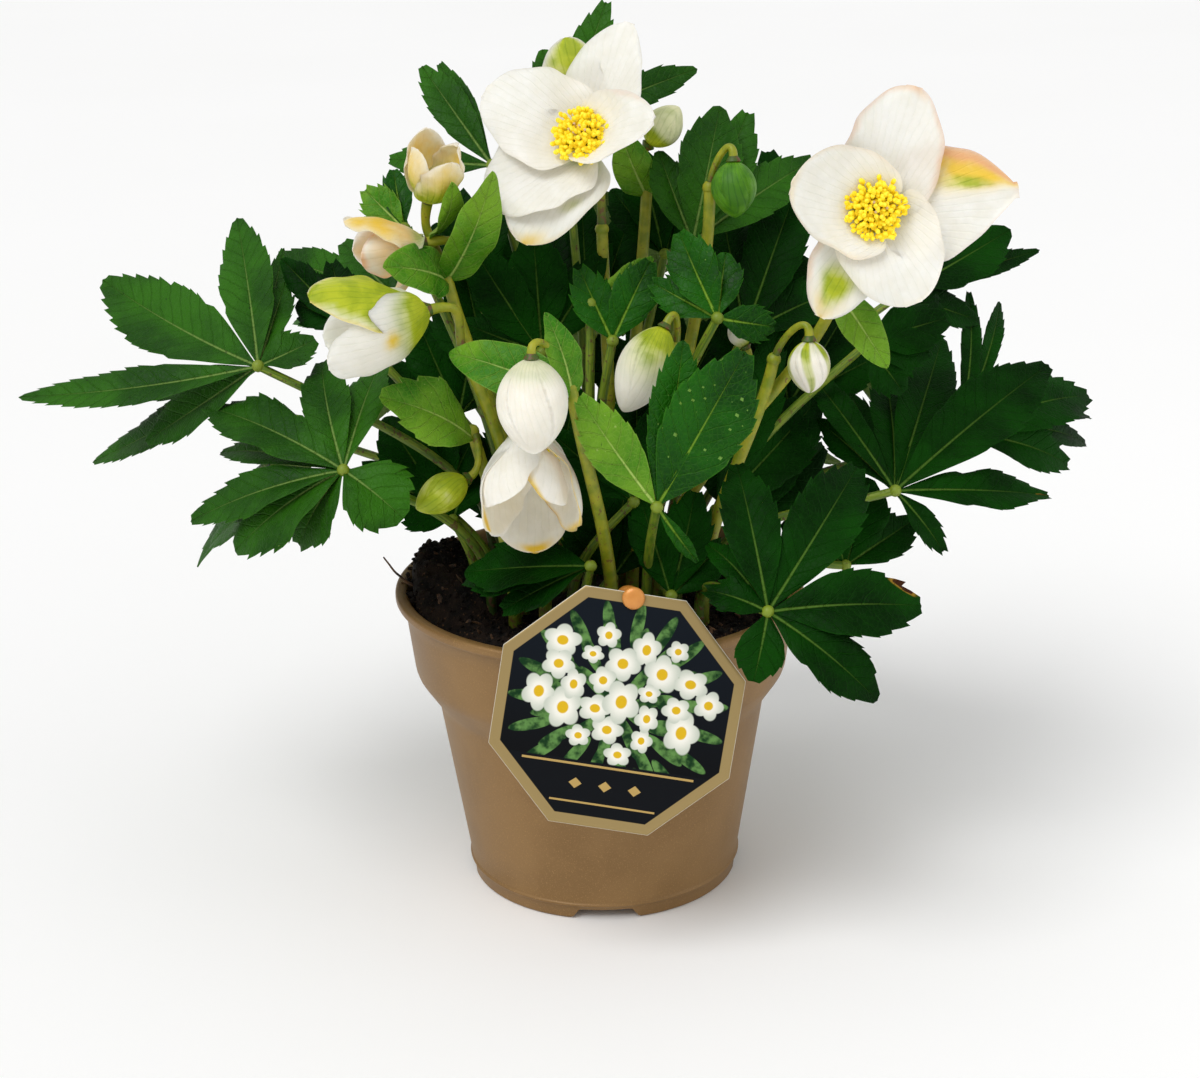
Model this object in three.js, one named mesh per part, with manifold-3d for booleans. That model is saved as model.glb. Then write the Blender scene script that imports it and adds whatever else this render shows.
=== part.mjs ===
// A white hellebore (Christmas rose) in a 13 cm nursery pot, as a three.js scene graph.
// Millimetres, +Z up. The origin is the middle of the pad under the pot, on the table.
// Angles are in degrees: an azimuth is counted from +X towards +Y, and an elevation up from level.

import * as THREE from "three";
import { mergeVertices } from "three/addons/utils/BufferGeometryUtils.js";
import Module from "manifold-3d";

const wasm = await Module();
wasm.setup();

// ---- Driving dimensions ----

const CLEARANCE = 0.3; // clear space between pieces that touch
const LOOSE_CLEARANCE = CLEARANCE + 0.1; // round stems and inside the pot, where the sides are flat
const DEGREE = Math.PI / 180;

const POT_SIDES = 24;
const POT_HEIGHT = 100;
const LIP_RADIUS = 66;
const LIP_HEIGHT = 3.2; // rolled lip
const LIP_OVERHANG = 2.6; // how far the lip stands out past the wall's top
const BAND_BOTTOM = 73; // band under the lip
const BAND_RADIUS = 60.6;
const SHOULDER_BOTTOM = 62; // foot of the slanted shoulder
const SHOULDER_RADIUS = 53.3;
const BEAD_HEIGHT = 5.2;
const BEAD_RADIUS = 45;
const BEAD_HALF = 0.6; // half the bead's height
const FOOT_RADIUS = 44;
const WALL = 1.4;
const FLOOR_HEIGHT = 4; // clear height under the floor
const FLOOR_THICKNESS = 1.8;
const FOOT_RING_WIDTH = 7;
const CENTRE_PAD_RADIUS = 7;
const NOTCH_COUNT = 4;
const NOTCH_WIDTH = 22;
const NOTCH_HEIGHT = 3.4;
const NOTCH_SLANT = 2.5; // each side leans in by this much

const SOIL_EDGE = 92; // height of the soil at the wall
const SOIL_MIDDLE = 97;
const SOIL_FLARE = 1.5; // the soil widens by this much with the band
const SOIL_RIPPLE = 0.6; // share of the finer of two ripples
const SOIL_HEAP = { x: -52, y: 5, radius: 22, height: 10 };
const HOLE_DEPTH = 16;
const HOLE_FLOOR = SOIL_EDGE - HOLE_DEPTH;
const STALK_STRAIGHT = 102; // stems are upright up to this height
const STEM_LIFT = 0.35; // share of a stem's reach over which it still rises upright
const LEAF_APPROACH = 0.4; // share of the reach over which a stem runs straight to its end
const SCAPE_APPROACH = 0.3;
const LEAF_ARRIVAL_SLOPE = 0.6; // leaf stalks arrive at their knobs flatter than the straight way
const STALK_SIDES = 4;
const STEM_STEPS = 6;
const STALK_STEPS = 5;

const LABEL_RADIUS = 39.5; // middle to corner of the eight-sided card
const LABEL_THICKNESS = 0.9;
const LABEL_TURN = -10; // turned clockwise
const LABEL_LEAN = 10; // its top leans back
const LABEL_MIDDLE = new THREE.Vector3(4.5, -70, 84.5);
const LABEL_HOLE = { x: -0.5, y: 35, radius: 2.6 }; // in the card's own upright plane
const PIN_RADIUS = 2;
const PIN_HEAD_RADIUS = 3.4;
const PIN_HEAD_HEIGHT = 1.2;
const PIN_NECK_DEPTH = 8; // straight stretch of the stake behind the card

const LEAF_RIB_TOP = 0.5; // a blade's rib stands above and below its edges
const LEAF_RIB_BOTTOM = 1.0;
const FULL_RIB_WIDTH = 12; // narrower blades have a lower rib
const BRACT_ARCH = 0.1;
const BRACT_FOLD = 0.25;
const LEAF_STALK_RADIUS = 1.7;
const LEAF_KNOB_RADIUS = 2.8;
const SCAPE_RADIUS = 2.1;
const STALK_RADIUS = 1.5;
const STALK_ROOT_DEPTH = 1.5; // stalks start this far below their joint, inside the stem
const STALK_RISE = 0.45; // share of its reach over which a stalk follows its scape
const BRACT_ROOT_DEPTH = 3; // bracts start this far below a joint, inside the stem
const SEPAL_THICKNESS = 1.3;
const SEPAL_STEP = 1.3; // one layer of sepals to the next
const SEPAL_ROOT = 1.2; // the sepals start this far from the flower's axis
const SEPAL_BLUNT = 0.14; // least share of the width, at root and tip
const NECK = 3.4; // depth of an open flower's knob under its sepals
const STAMEN_COUNT = 15;
const STAMEN_BASE = 2.6;
const STAMEN_LENGTH = 9.5;
const STAMEN_SPREAD = 48; // tilt of the outermost
const STAMEN_CUSHION = 2.7;
const STAMEN_TIP_RADIUS = 1;
const STAMEN_FOOT_RADIUS = 0.4;
const GOLDEN_ANGLE = 137.5;
const BUD_RINGS = 5;
const BUD_SIDES = 10;
const BUD_CREASE = 0.9; // radius in the creases between overlapping sepals
const BUD_TWIST = 0.3; // radians from base to tip

// ---- Materials ----

function material(colour, roughness, metalness = 0) {
  return new THREE.MeshStandardMaterial({ color: colour, roughness, metalness });
}

const potPlastic = material("#a07c4c", 0.42, 0.25);
const peat = material("#2a1d14", 0.95);
const labelCard = material("#1a2230", 0.35);
const pinCopper = material("#c9772b", 0.4, 0.3);
const matureLeaf = material("#1f5423", 0.45);
const youngLeaf = material("#3a8a24", 0.45);
const scapeGreen = material("#7f9a3a", 0.5);
const budGreen = material("#5f9a2c", 0.5);
const sepalWhite = material("#f2efe4", 0.55);
const stamenYellow = material("#e8cc1c", 0.6);

// ---- Solids ----

function solidOf(geometry) {
  const bare = geometry.clone();
  bare.deleteAttribute("normal");
  bare.deleteAttribute("uv");
  const welded = mergeVertices(bare, 1e-3);
  return new wasm.Manifold(
    new wasm.Mesh({
      numProp: 3,
      vertProperties: Float32Array.from(welded.attributes.position.array),
      triVerts: Uint32Array.from(welded.index.array),
    }),
  );
}

// Joins solids in one, and fills any hollow that the joining seals.
function fuse(solids) {
  const bodies = solids.reduce((whole, solid) => whole.add(solid)).decompose();
  return bodies.reduce((largest, body) => (body.volume() > largest.volume() ? body : largest));
}

function namedMesh(name, solid, finish) {
  const { vertProperties, triVerts } = solid.getMesh();
  const geometry = new THREE.BufferGeometry();
  geometry.setAttribute("position", new THREE.BufferAttribute(vertProperties, 3));
  geometry.setIndex(new THREE.BufferAttribute(triVerts, 1));
  geometry.computeVertexNormals();
  const mesh = new THREE.Mesh(geometry, finish);
  mesh.name = name;
  return mesh;
}

function triangleGeometry(points, triangles) {
  const geometry = new THREE.BufferGeometry();
  geometry.setAttribute("position", new THREE.Float32BufferAttribute(points.flatMap((p) => p.toArray()), 3));
  geometry.setIndex(triangles.flat());
  return geometry;
}

function direction(azimuth, elevation) {
  const level = Math.cos(elevation * DEGREE);
  return new THREE.Vector3(
    level * Math.cos(azimuth * DEGREE),
    level * Math.sin(azimuth * DEGREE),
    Math.sin(elevation * DEGREE),
  );
}

// A frame whose Z looks along the given direction, whose X is level and whose Y is upwards.
function facingFrame(place, [azimuth, elevation]) {
  const front = direction(azimuth, elevation);
  const right = new THREE.Vector3(0, 0, 1).cross(front).normalize();
  const up = front.clone().cross(right);
  return new THREE.Matrix4().makeBasis(right, up, front).setPosition(place);
}

function prism(radius, height, sides, radiusTop = radius) {
  return new THREE.CylinderGeometry(radiusTop, radius, height, sides).rotateX(90 * DEGREE);
}

// ---- Pot ----

function potSolid() {
  const lipBottom = POT_HEIGHT - LIP_HEIGHT;
  const lipRoot = LIP_RADIUS - LIP_OVERHANG;
  const outline = [
    [0, 0],
    [CENTRE_PAD_RADIUS, 0],
    [CENTRE_PAD_RADIUS, FLOOR_HEIGHT],
    [FOOT_RADIUS - FOOT_RING_WIDTH, FLOOR_HEIGHT],
    [FOOT_RADIUS - FOOT_RING_WIDTH, 0],
    [FOOT_RADIUS, 0],
    [BEAD_RADIUS, BEAD_HEIGHT - BEAD_HALF],
    [BEAD_RADIUS, BEAD_HEIGHT + BEAD_HALF],
    [SHOULDER_RADIUS, SHOULDER_BOTTOM],
    [BAND_RADIUS, BAND_BOTTOM],
    [lipRoot, lipBottom],
    [LIP_RADIUS, lipBottom + 0.8],
    [LIP_RADIUS - 0.5, POT_HEIGHT],
    [lipRoot - WALL, POT_HEIGHT],
    [BAND_RADIUS - WALL, BAND_BOTTOM],
    [SHOULDER_RADIUS - WALL, SHOULDER_BOTTOM],
    [FOOT_RADIUS - WALL, FLOOR_HEIGHT + FLOOR_THICKNESS],
    [0, FLOOR_HEIGHT + FLOOR_THICKNESS],
  ];
  const points = outline.map(([radius, height]) => new THREE.Vector2(radius, height));
  const shell = new THREE.LatheGeometry(points, POT_SIDES).rotateX(90 * DEGREE);
  return notches().reduce((pot, notch) => pot.subtract(notch), solidOf(shell));
}

// Drainage notches in the foot ring: trapezoids that narrow upwards.
function notches() {
  const lower = NOTCH_WIDTH / 2;
  const upper = lower - NOTCH_SLANT;
  const outline = new THREE.Shape([
    new THREE.Vector2(-lower, -1),
    new THREE.Vector2(lower, -1),
    new THREE.Vector2(upper, NOTCH_HEIGHT),
    new THREE.Vector2(-upper, NOTCH_HEIGHT),
  ]);
  const margin = 3;
  const depth = FOOT_RING_WIDTH + 2 * margin;
  return Array.from({ length: NOTCH_COUNT }, (_, index) => {
    const cutter = new THREE.ExtrudeGeometry(outline, { depth, bevelEnabled: false });
    cutter.rotateX(90 * DEGREE);
    cutter.translate(0, -(FOOT_RADIUS - FOOT_RING_WIDTH - margin), 0);
    cutter.rotateZ((index * 360 * DEGREE) / NOTCH_COUNT);
    return solidOf(cutter);
  });
}

// ---- Soil ----

// The soil's face: low hummocks up to about 1.5 mm high, and peat heaped up at the left.
function hummock(x, y) {
  const coarse = Math.sin(x * 0.21 + 1) * Math.cos(y * 0.17);
  const fine = Math.sin(x * 0.09 - y * 0.23 + 2);
  const fromHeap = Math.hypot(x - SOIL_HEAP.x, y - SOIL_HEAP.y) / SOIL_HEAP.radius;
  return coarse + SOIL_RIPPLE * fine + SOIL_HEAP.height * Math.max(0, 1 - fromHeap ** 2);
}

function soilSolid(feet) {
  const inset = WALL + LOOSE_CLEARANCE;
  const floor = FLOOR_HEIGHT + FLOOR_THICKNESS + CLEARANCE;
  const outline = [
    [0, floor],
    [FOOT_RADIUS - inset, floor],
    [SHOULDER_RADIUS - inset, SHOULDER_BOTTOM],
    [BAND_RADIUS - inset, BAND_BOTTOM],
    [BAND_RADIUS - inset + SOIL_FLARE, SOIL_EDGE],
    [50, SOIL_EDGE + 2],
    [38, SOIL_EDGE + 3],
    [20, SOIL_MIDDLE - 1],
    [0, SOIL_MIDDLE],
  ];
  const points = outline.map(([radius, height]) => new THREE.Vector2(radius, height));
  const body = new THREE.LatheGeometry(points, POT_SIDES).rotateX(90 * DEGREE);
  const place = body.attributes.position;
  for (let index = 0; index < place.count; index += 1) {
    if (place.getZ(index) > SOIL_EDGE + 1) {
      const rise = hummock(place.getX(index), place.getY(index));
      place.setZ(index, place.getZ(index) + rise);
    }
  }
  return feet.reduce((soil, foot) => soil.subtract(stemHole(foot)), solidOf(body));
}

// A plain upright hole, a little wider than the stem that stands in it.
function stemHole({ x, y, radius }) {
  const across = (radius + LOOSE_CLEARANCE) / Math.cos((180 * DEGREE) / STALK_SIDES);
  const height = SOIL_MIDDLE + SOIL_HEAP.height - HOLE_FLOOR;
  return solidOf(prism(across, height, STALK_SIDES).translate(x, y, HOLE_FLOOR + height / 2));
}

// ---- Label and its peg ----

function labelFrame() {
  return facingFrame(LABEL_MIDDLE, [-90, LABEL_LEAN]);
}

function labelSolid() {
  const turn = (22.5 + LABEL_TURN) * DEGREE;
  const card = prism(LABEL_RADIUS, LABEL_THICKNESS, 8).rotateZ(turn);
  const hole = prism(LABEL_HOLE.radius, 4, 12).translate(...labelHolePlace(), 0);
  return solidOf(card).subtract(solidOf(hole)).transform(labelFrame().elements);
}

function labelHolePlace() {
  const place = new THREE.Vector2(LABEL_HOLE.x, LABEL_HOLE.y);
  return place.rotateAround(new THREE.Vector2(), LABEL_TURN * DEGREE).toArray();
}

// A round head in front of the card, a neck through its hole, and a stake bent down into the soil.
function pinSolid(foot) {
  const [x, y] = labelHolePlace();
  const front = LABEL_THICKNESS / 2 + CLEARANCE;
  const head = prism(PIN_HEAD_RADIUS, PIN_HEAD_HEIGHT, 12, PIN_HEAD_RADIUS - 0.8);
  head.translate(x, y, front + PIN_HEAD_HEIGHT / 2).applyMatrix4(labelFrame());
  const start = new THREE.Vector3(x, y, front + PIN_HEAD_HEIGHT / 3).applyMatrix4(labelFrame());
  const bend = new THREE.Vector3(x, y, -PIN_NECK_DEPTH).applyMatrix4(labelFrame());
  const route = new THREE.CurvePath();
  route.add(new THREE.LineCurve3(start, bend));
  const above = new THREE.Vector3(foot.x, foot.y, STALK_STRAIGHT + 3);
  const elbow = new THREE.Vector3(foot.x, foot.y, bend.z);
  route.add(new THREE.QuadraticBezierCurve3(bend, elbow, above));
  const bottom = new THREE.Vector3(foot.x, foot.y, HOLE_FLOOR + CLEARANCE);
  route.add(new THREE.LineCurve3(above, bottom));
  return solidOf(head).add(solidOf(tube(route, PIN_RADIUS, 6, 14)));
}

// ---- Stems ----

function tube(route, radius, sides, steps) {
  const section = new THREE.Shape();
  for (let side = 0; side < sides; side += 1) {
    const angle = (side * 360 * DEGREE) / sides;
    const corner = [radius * Math.cos(angle), radius * Math.sin(angle)];
    if (side === 0) section.moveTo(...corner);
    else section.lineTo(...corner);
  }
  section.closePath();
  return new THREE.ExtrudeGeometry(section, { steps, extrudePath: route, bevelEnabled: false });
}

// A stem that stands upright in the soil, then bends over to arrive at `end` along `arrival`.
function stemRoute(foot, end, arrival, approachShare) {
  const bottom = new THREE.Vector3(foot.x, foot.y, HOLE_FLOOR + CLEARANCE);
  const collar = new THREE.Vector3(foot.x, foot.y, STALK_STRAIGHT);
  const reach = collar.distanceTo(end);
  const lift = collar.clone().addScaledVector(new THREE.Vector3(0, 0, 1), reach * STEM_LIFT);
  const approach = end.clone().addScaledVector(arrival, -reach * approachShare);
  const route = new THREE.CurvePath();
  route.add(new THREE.LineCurve3(bottom, collar));
  route.add(new THREE.CubicBezierCurve3(collar, lift, approach, end));
  return route;
}

// ---- Leaf blades ----

// Half outlines from base to tip: share of the length, share of the half width.
const TOOTHED_EDGE = [
  [0.12, 0.3],
  [0.33, 0.76],
  [0.57, 1.0],
  [0.61, 0.93],
  [0.79, 0.82],
  [0.83, 0.63],
];
const SMOOTH_EDGE = [
  [0.08, 0.5],
  [0.3, 0.94],
  [0.6, 0.96],
  [0.86, 0.52],
];
const RIB_STATIONS = [0.34, 0.7];

// One blade along +X, its upper face towards +Z. It arches along its length and folds up from its
// rib. Both faces share the edge and are split into the same triangles.
function bladeGeometry({ length, width, edge, arch, fold }) {
  const points = [];
  const place = (along, across, lift) => {
    const crown = 4 * arch * length * along * (1 - along);
    points.push(new THREE.Vector3(along * length, across, crown + fold * Math.abs(across) + lift));
    return { index: points.length - 1, along };
  };
  const base = place(0, 0, 0);
  const tip = place(1, 0, 0);
  const thinning = Math.min(1, width / FULL_RIB_WIDTH);
  const ribs = [LEAF_RIB_TOP, -LEAF_RIB_BOTTOM].map((lift) => [
    base,
    ...RIB_STATIONS.map((along) => place(along, 0, lift * thinning)),
    tip,
  ]);
  const edges = [1, -1].map((side) => [
    base,
    ...edge.map(([along, share]) => place(along, (side * share * width) / 2, 0)),
    tip,
  ]);
  const triangles = [];
  ribs.forEach((rib, face) => {
    edges.forEach((rim, side) => {
      triangles.push(...strip(rib, rim, face !== side));
    });
  });
  return triangleGeometry(points, triangles);
}

// Triangles between two lines of points that start and end together.
function strip(inner, outer, flipped) {
  const triangles = [];
  let near = 0;
  let far = 0;
  while (near < inner.length - 1 || far < outer.length - 1) {
    const nextNear = inner[near + 1]?.along ?? 2;
    const nextFar = outer[far + 1]?.along ?? 2;
    const stepNear = nextNear < nextFar;
    const third = stepNear ? inner[near + 1] : outer[far + 1];
    const corners = [inner[near].index, third.index, outer[far].index];
    if (new Set(corners).size === 3) triangles.push(flipped ? corners.reverse() : corners);
    if (stepNear) near += 1;
    else far += 1;
  }
  return triangles;
}

// ---- Leaves ----

// A leaf: a stalk from the soil to a knob, and toothed leaflets round the knob.
// Each leaflet: bearing in the leaf's face (0 is level to the right, 90 upwards), length, width and
// how many degrees it drops behind that face.
function leafSolid({ knob, facing, foot, leaflets, arch = 0.03, fold = 0.22 }) {
  const frame = facingFrame(new THREE.Vector3(...knob), facing);
  const blades = leaflets.map(([bearing, length, width, drop]) => {
    const blade = bladeGeometry({ length, width, edge: TOOTHED_EDGE, arch, fold });
    blade.rotateY(drop * DEGREE).rotateZ(bearing * DEGREE);
    return solidOf(blade.applyMatrix4(frame));
  });
  const end = new THREE.Vector3(...knob);
  const arrival = end.clone().sub(new THREE.Vector3(foot.x, foot.y, STALK_STRAIGHT));
  arrival.z *= LEAF_ARRIVAL_SLOPE;
  const route = stemRoute(foot, end, arrival.normalize(), LEAF_APPROACH);
  const stalk = solidOf(tube(route, LEAF_STALK_RADIUS, STALK_SIDES, STEM_STEPS));
  const knobSolid = solidOf(new THREE.OctahedronGeometry(LEAF_KNOB_RADIUS, 0).translate(...knob));
  return fuse([stalk, knobSolid, ...blades]);
}

function footAt([radius, azimuth], stemRadius) {
  const x = radius * Math.cos(azimuth * DEGREE);
  const y = radius * Math.sin(azimuth * DEGREE);
  return { x, y, radius: stemRadius };
}

// ---- Flowers ----

// Place of a point on a sepal, in a frame whose Z is the flower's axis. Its middle line leaves the
// axis at the first of the `open` angles and ends at the second, so a sepal is part of a bell, and
// `wrap` says how far it follows that bell round (1) or stays flat across (0). `lift` is along its
// inner face.
function sepalPoint({ turn, length, width, open, layer, wrap, cup }, along, across, lift) {
  const [first, last] = open.map((angle) => angle * DEGREE);
  const bend = last - first;
  const angle = first + bend * along;
  const rise = (-length * (Math.cos(angle) - Math.cos(first))) / bend;
  const spread = SEPAL_ROOT + (length * (Math.sin(angle) - Math.sin(first))) / bend;
  const half = (width / 2) * Math.max(SEPAL_BLUNT, Math.sin(Math.PI * along ** 0.85) ** 0.55);
  const offset = lift - layer * SEPAL_STEP + cup * half * across ** 2;
  const radius = spread - Math.sin(angle) * offset;
  const height = rise + Math.cos(angle) * offset;
  const sweep = (wrap * across * half) / Math.max(radius, SEPAL_ROOT + 4);
  const aside = (1 - wrap) * across * half;
  const heading = turn * DEGREE + sweep;
  return new THREE.Vector3(
    radius * Math.cos(heading) - aside * Math.sin(heading),
    radius * Math.sin(heading) + aside * Math.cos(heading),
    height,
  );
}

// A closed sepal: two faces that share their edge, thickest along the middle, split into as many rows
// as columns.
function sepalGeometry(sepal, rows) {
  const columns = rows;
  const points = [];
  const index = [0, 1].map(() => []);
  for (let row = 0; row <= rows; row += 1) {
    for (let column = 0; column <= columns; column += 1) {
      const along = row / rows;
      const across = (2 * column) / columns - 1;
      const onEdge = row === 0 || row === rows || column === 0 || column === columns;
      const lift = onEdge ? 0 : (SEPAL_THICKNESS / 2) * (1 - 0.3 * across ** 2);
      const inner = points.push(sepalPoint(sepal, along, across, lift)) - 1;
      const outer = onEdge ? inner : points.push(sepalPoint(sepal, along, across, -lift)) - 1;
      index[0].push(inner);
      index[1].push(outer);
    }
  }
  const triangles = [];
  for (let row = 0; row < rows; row += 1) {
    for (let column = 0; column < columns; column += 1) {
      const a = row * (columns + 1) + column;
      const [b, c, d] = [a + 1, a + columns + 2, a + columns + 1];
      for (const [i, j, k] of [[a, d, c], [a, c, b]]) {
        triangles.push([index[0][i], index[0][j], index[0][k]]);
        triangles.push([index[1][i], index[1][k], index[1][j]]);
      }
    }
  }
  return triangleGeometry(points, triangles);
}

// The knob under a flower that carries its sepals. Its flat underside meets the stalk.
function receptacle(scale) {
  const height = 4 * scale;
  return prism(2.4 * scale, height, 6, 4.4 * scale).translate(0, 0, height / 2 - NECK * scale);
}

function openBloomSolid({ at, facing, sepals, wrap = 0.5, cup = 0.12, knob = 1, rows = 4 }) {
  const frame = facingFrame(new THREE.Vector3(...at), facing);
  const parts = sepals.map(([turn, length, width, open, layer]) => {
    const sepal = sepalGeometry({ turn, length, width, open, layer, wrap, cup }, rows);
    return solidOf(sepal.applyMatrix4(frame));
  });
  return fuse([solidOf(receptacle(knob).applyMatrix4(frame)), ...parts]);
}

// A closed bud: an egg whose five sepals overlap, so its girth steps in and out round it.
function budSolid({ at, facing, length, width, knob }) {
  const points = [new THREE.Vector3(0, 0, -0.5)];
  for (let ring = 1; ring < BUD_RINGS; ring += 1) {
    const along = ring / BUD_RINGS;
    const girth = Math.sin(Math.PI * along ** 0.9) ** 0.62;
    for (let side = 0; side < BUD_SIDES; side += 1) {
      const angle = (side / BUD_SIDES) * 2 * Math.PI + BUD_TWIST * along;
      const radius = (width / 2) * girth * (side % 2 ? BUD_CREASE : 1);
      points.push(new THREE.Vector3(radius * Math.cos(angle), radius * Math.sin(angle), along * length));
    }
  }
  points.push(new THREE.Vector3(0, 0, length));
  const triangles = [];
  for (let side = 0; side < BUD_SIDES; side += 1) {
    const next = (side + 1) % BUD_SIDES;
    triangles.push([0, 1 + next, 1 + side]);
    for (let ring = 0; ring < BUD_RINGS - 2; ring += 1) {
      const [low, high] = [1 + ring * BUD_SIDES, 1 + (ring + 1) * BUD_SIDES];
      triangles.push([low + side, low + next, high + next], [low + side, high + next, high + side]);
    }
    const last = 1 + (BUD_RINGS - 2) * BUD_SIDES;
    triangles.push([last + side, last + next, points.length - 1]);
  }
  const frame = facingFrame(new THREE.Vector3(...at), facing);
  const egg = triangleGeometry(points, triangles).applyMatrix4(frame);
  return solidOf(egg).add(solidOf(receptacle(knob).applyMatrix4(frame)));
}

// A tuft of stamens on a small cushion: three-sided, widening to the anther, at golden-angle steps.
function stamensSolid({ at, facing }) {
  const frame = facingFrame(new THREE.Vector3(...at), facing);
  const cushion = prism(STAMEN_CUSHION, 2, 6).translate(0, 0, STAMEN_BASE + 1);
  const footing = STAMEN_CUSHION * 0.7;
  const stamens = Array.from({ length: STAMEN_COUNT }, (_, index) => {
    const share = Math.sqrt((index + 0.5) / STAMEN_COUNT);
    const length = STAMEN_LENGTH * (0.88 + 0.12 * Math.cos(index * 2.1));
    const stamen = prism(STAMEN_FOOT_RADIUS, length, 3, STAMEN_TIP_RADIUS).translate(0, 0, length / 2);
    stamen.rotateY(STAMEN_SPREAD * share * DEGREE).translate(share * footing, 0, STAMEN_BASE + 1);
    return solidOf(stamen.rotateZ(index * GOLDEN_ANGLE * DEGREE).applyMatrix4(frame));
  });
  return fuse([solidOf(cushion.applyMatrix4(frame)), ...stamens]);
}

// ---- Flower stems ----

// The place where a stalk stops under a flower's knob, and the way it points there.
function stalkEnd({ at, facing, knob = 1 }) {
  const axis = direction(...facing);
  const end = new THREE.Vector3(...at).addScaledVector(axis, -NECK * knob - CLEARANCE);
  return { end, axis };
}

// A smooth or toothed bract from a stem to its tip, its upper face towards `facing`.
function bractSolid(start, { tip, width, facing, edge = SMOOTH_EDGE }) {
  const along = new THREE.Vector3(...tip).sub(start);
  const length = along.length();
  along.normalize();
  const across = direction(...facing).cross(along).normalize();
  const frame = new THREE.Matrix4().makeBasis(along, across, along.clone().cross(across));
  const blade = bladeGeometry({ length, width, edge, arch: BRACT_ARCH, fold: BRACT_FOLD });
  return solidOf(blade.applyMatrix4(frame.setPosition(start)));
}

// The curve of a stalk from just inside the top of its scape to its flower.
function stalkRoute(top, heading, flower, hook) {
  const { end, axis } = stalkEnd(flower);
  const start = top.clone().addScaledVector(heading, -STALK_ROOT_DEPTH);
  const away = top.clone().addScaledVector(heading, start.distanceTo(end) * STALK_RISE);
  const approach = end.clone().addScaledVector(axis, -hook);
  return new THREE.CubicBezierCurve3(start, away, approach, end);
}

// A scape from the soil to a joint, with a stalk on to each of its flowers. Its bracts grow from
// the joint, or from the middle of the stalk whose number they give.
function scapeSolid({ foot, joint, lean, carries, bracts = [], hook = 14 }) {
  const top = new THREE.Vector3(...joint);
  const heading = direction(...lean);
  const main = tube(stemRoute(foot, top, heading, SCAPE_APPROACH), SCAPE_RADIUS, STALK_SIDES, STEM_STEPS);
  const routes = carries.map((flower) => stalkRoute(top, heading, flower, hook));
  const stalks = routes.map((route) => solidOf(tube(route, STALK_RADIUS, STALK_SIDES, STALK_STEPS)));
  const node = top.clone().addScaledVector(heading, -BRACT_ROOT_DEPTH);
  const blades = bracts.map((bract) => {
    const start = bract.stalk === undefined ? node : routes[bract.stalk].getPointAt(0.5);
    return bractSolid(start, bract);
  });
  return fuse([solidOf(main), ...stalks, ...blades]);
}

// ---- The plant ----

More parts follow.
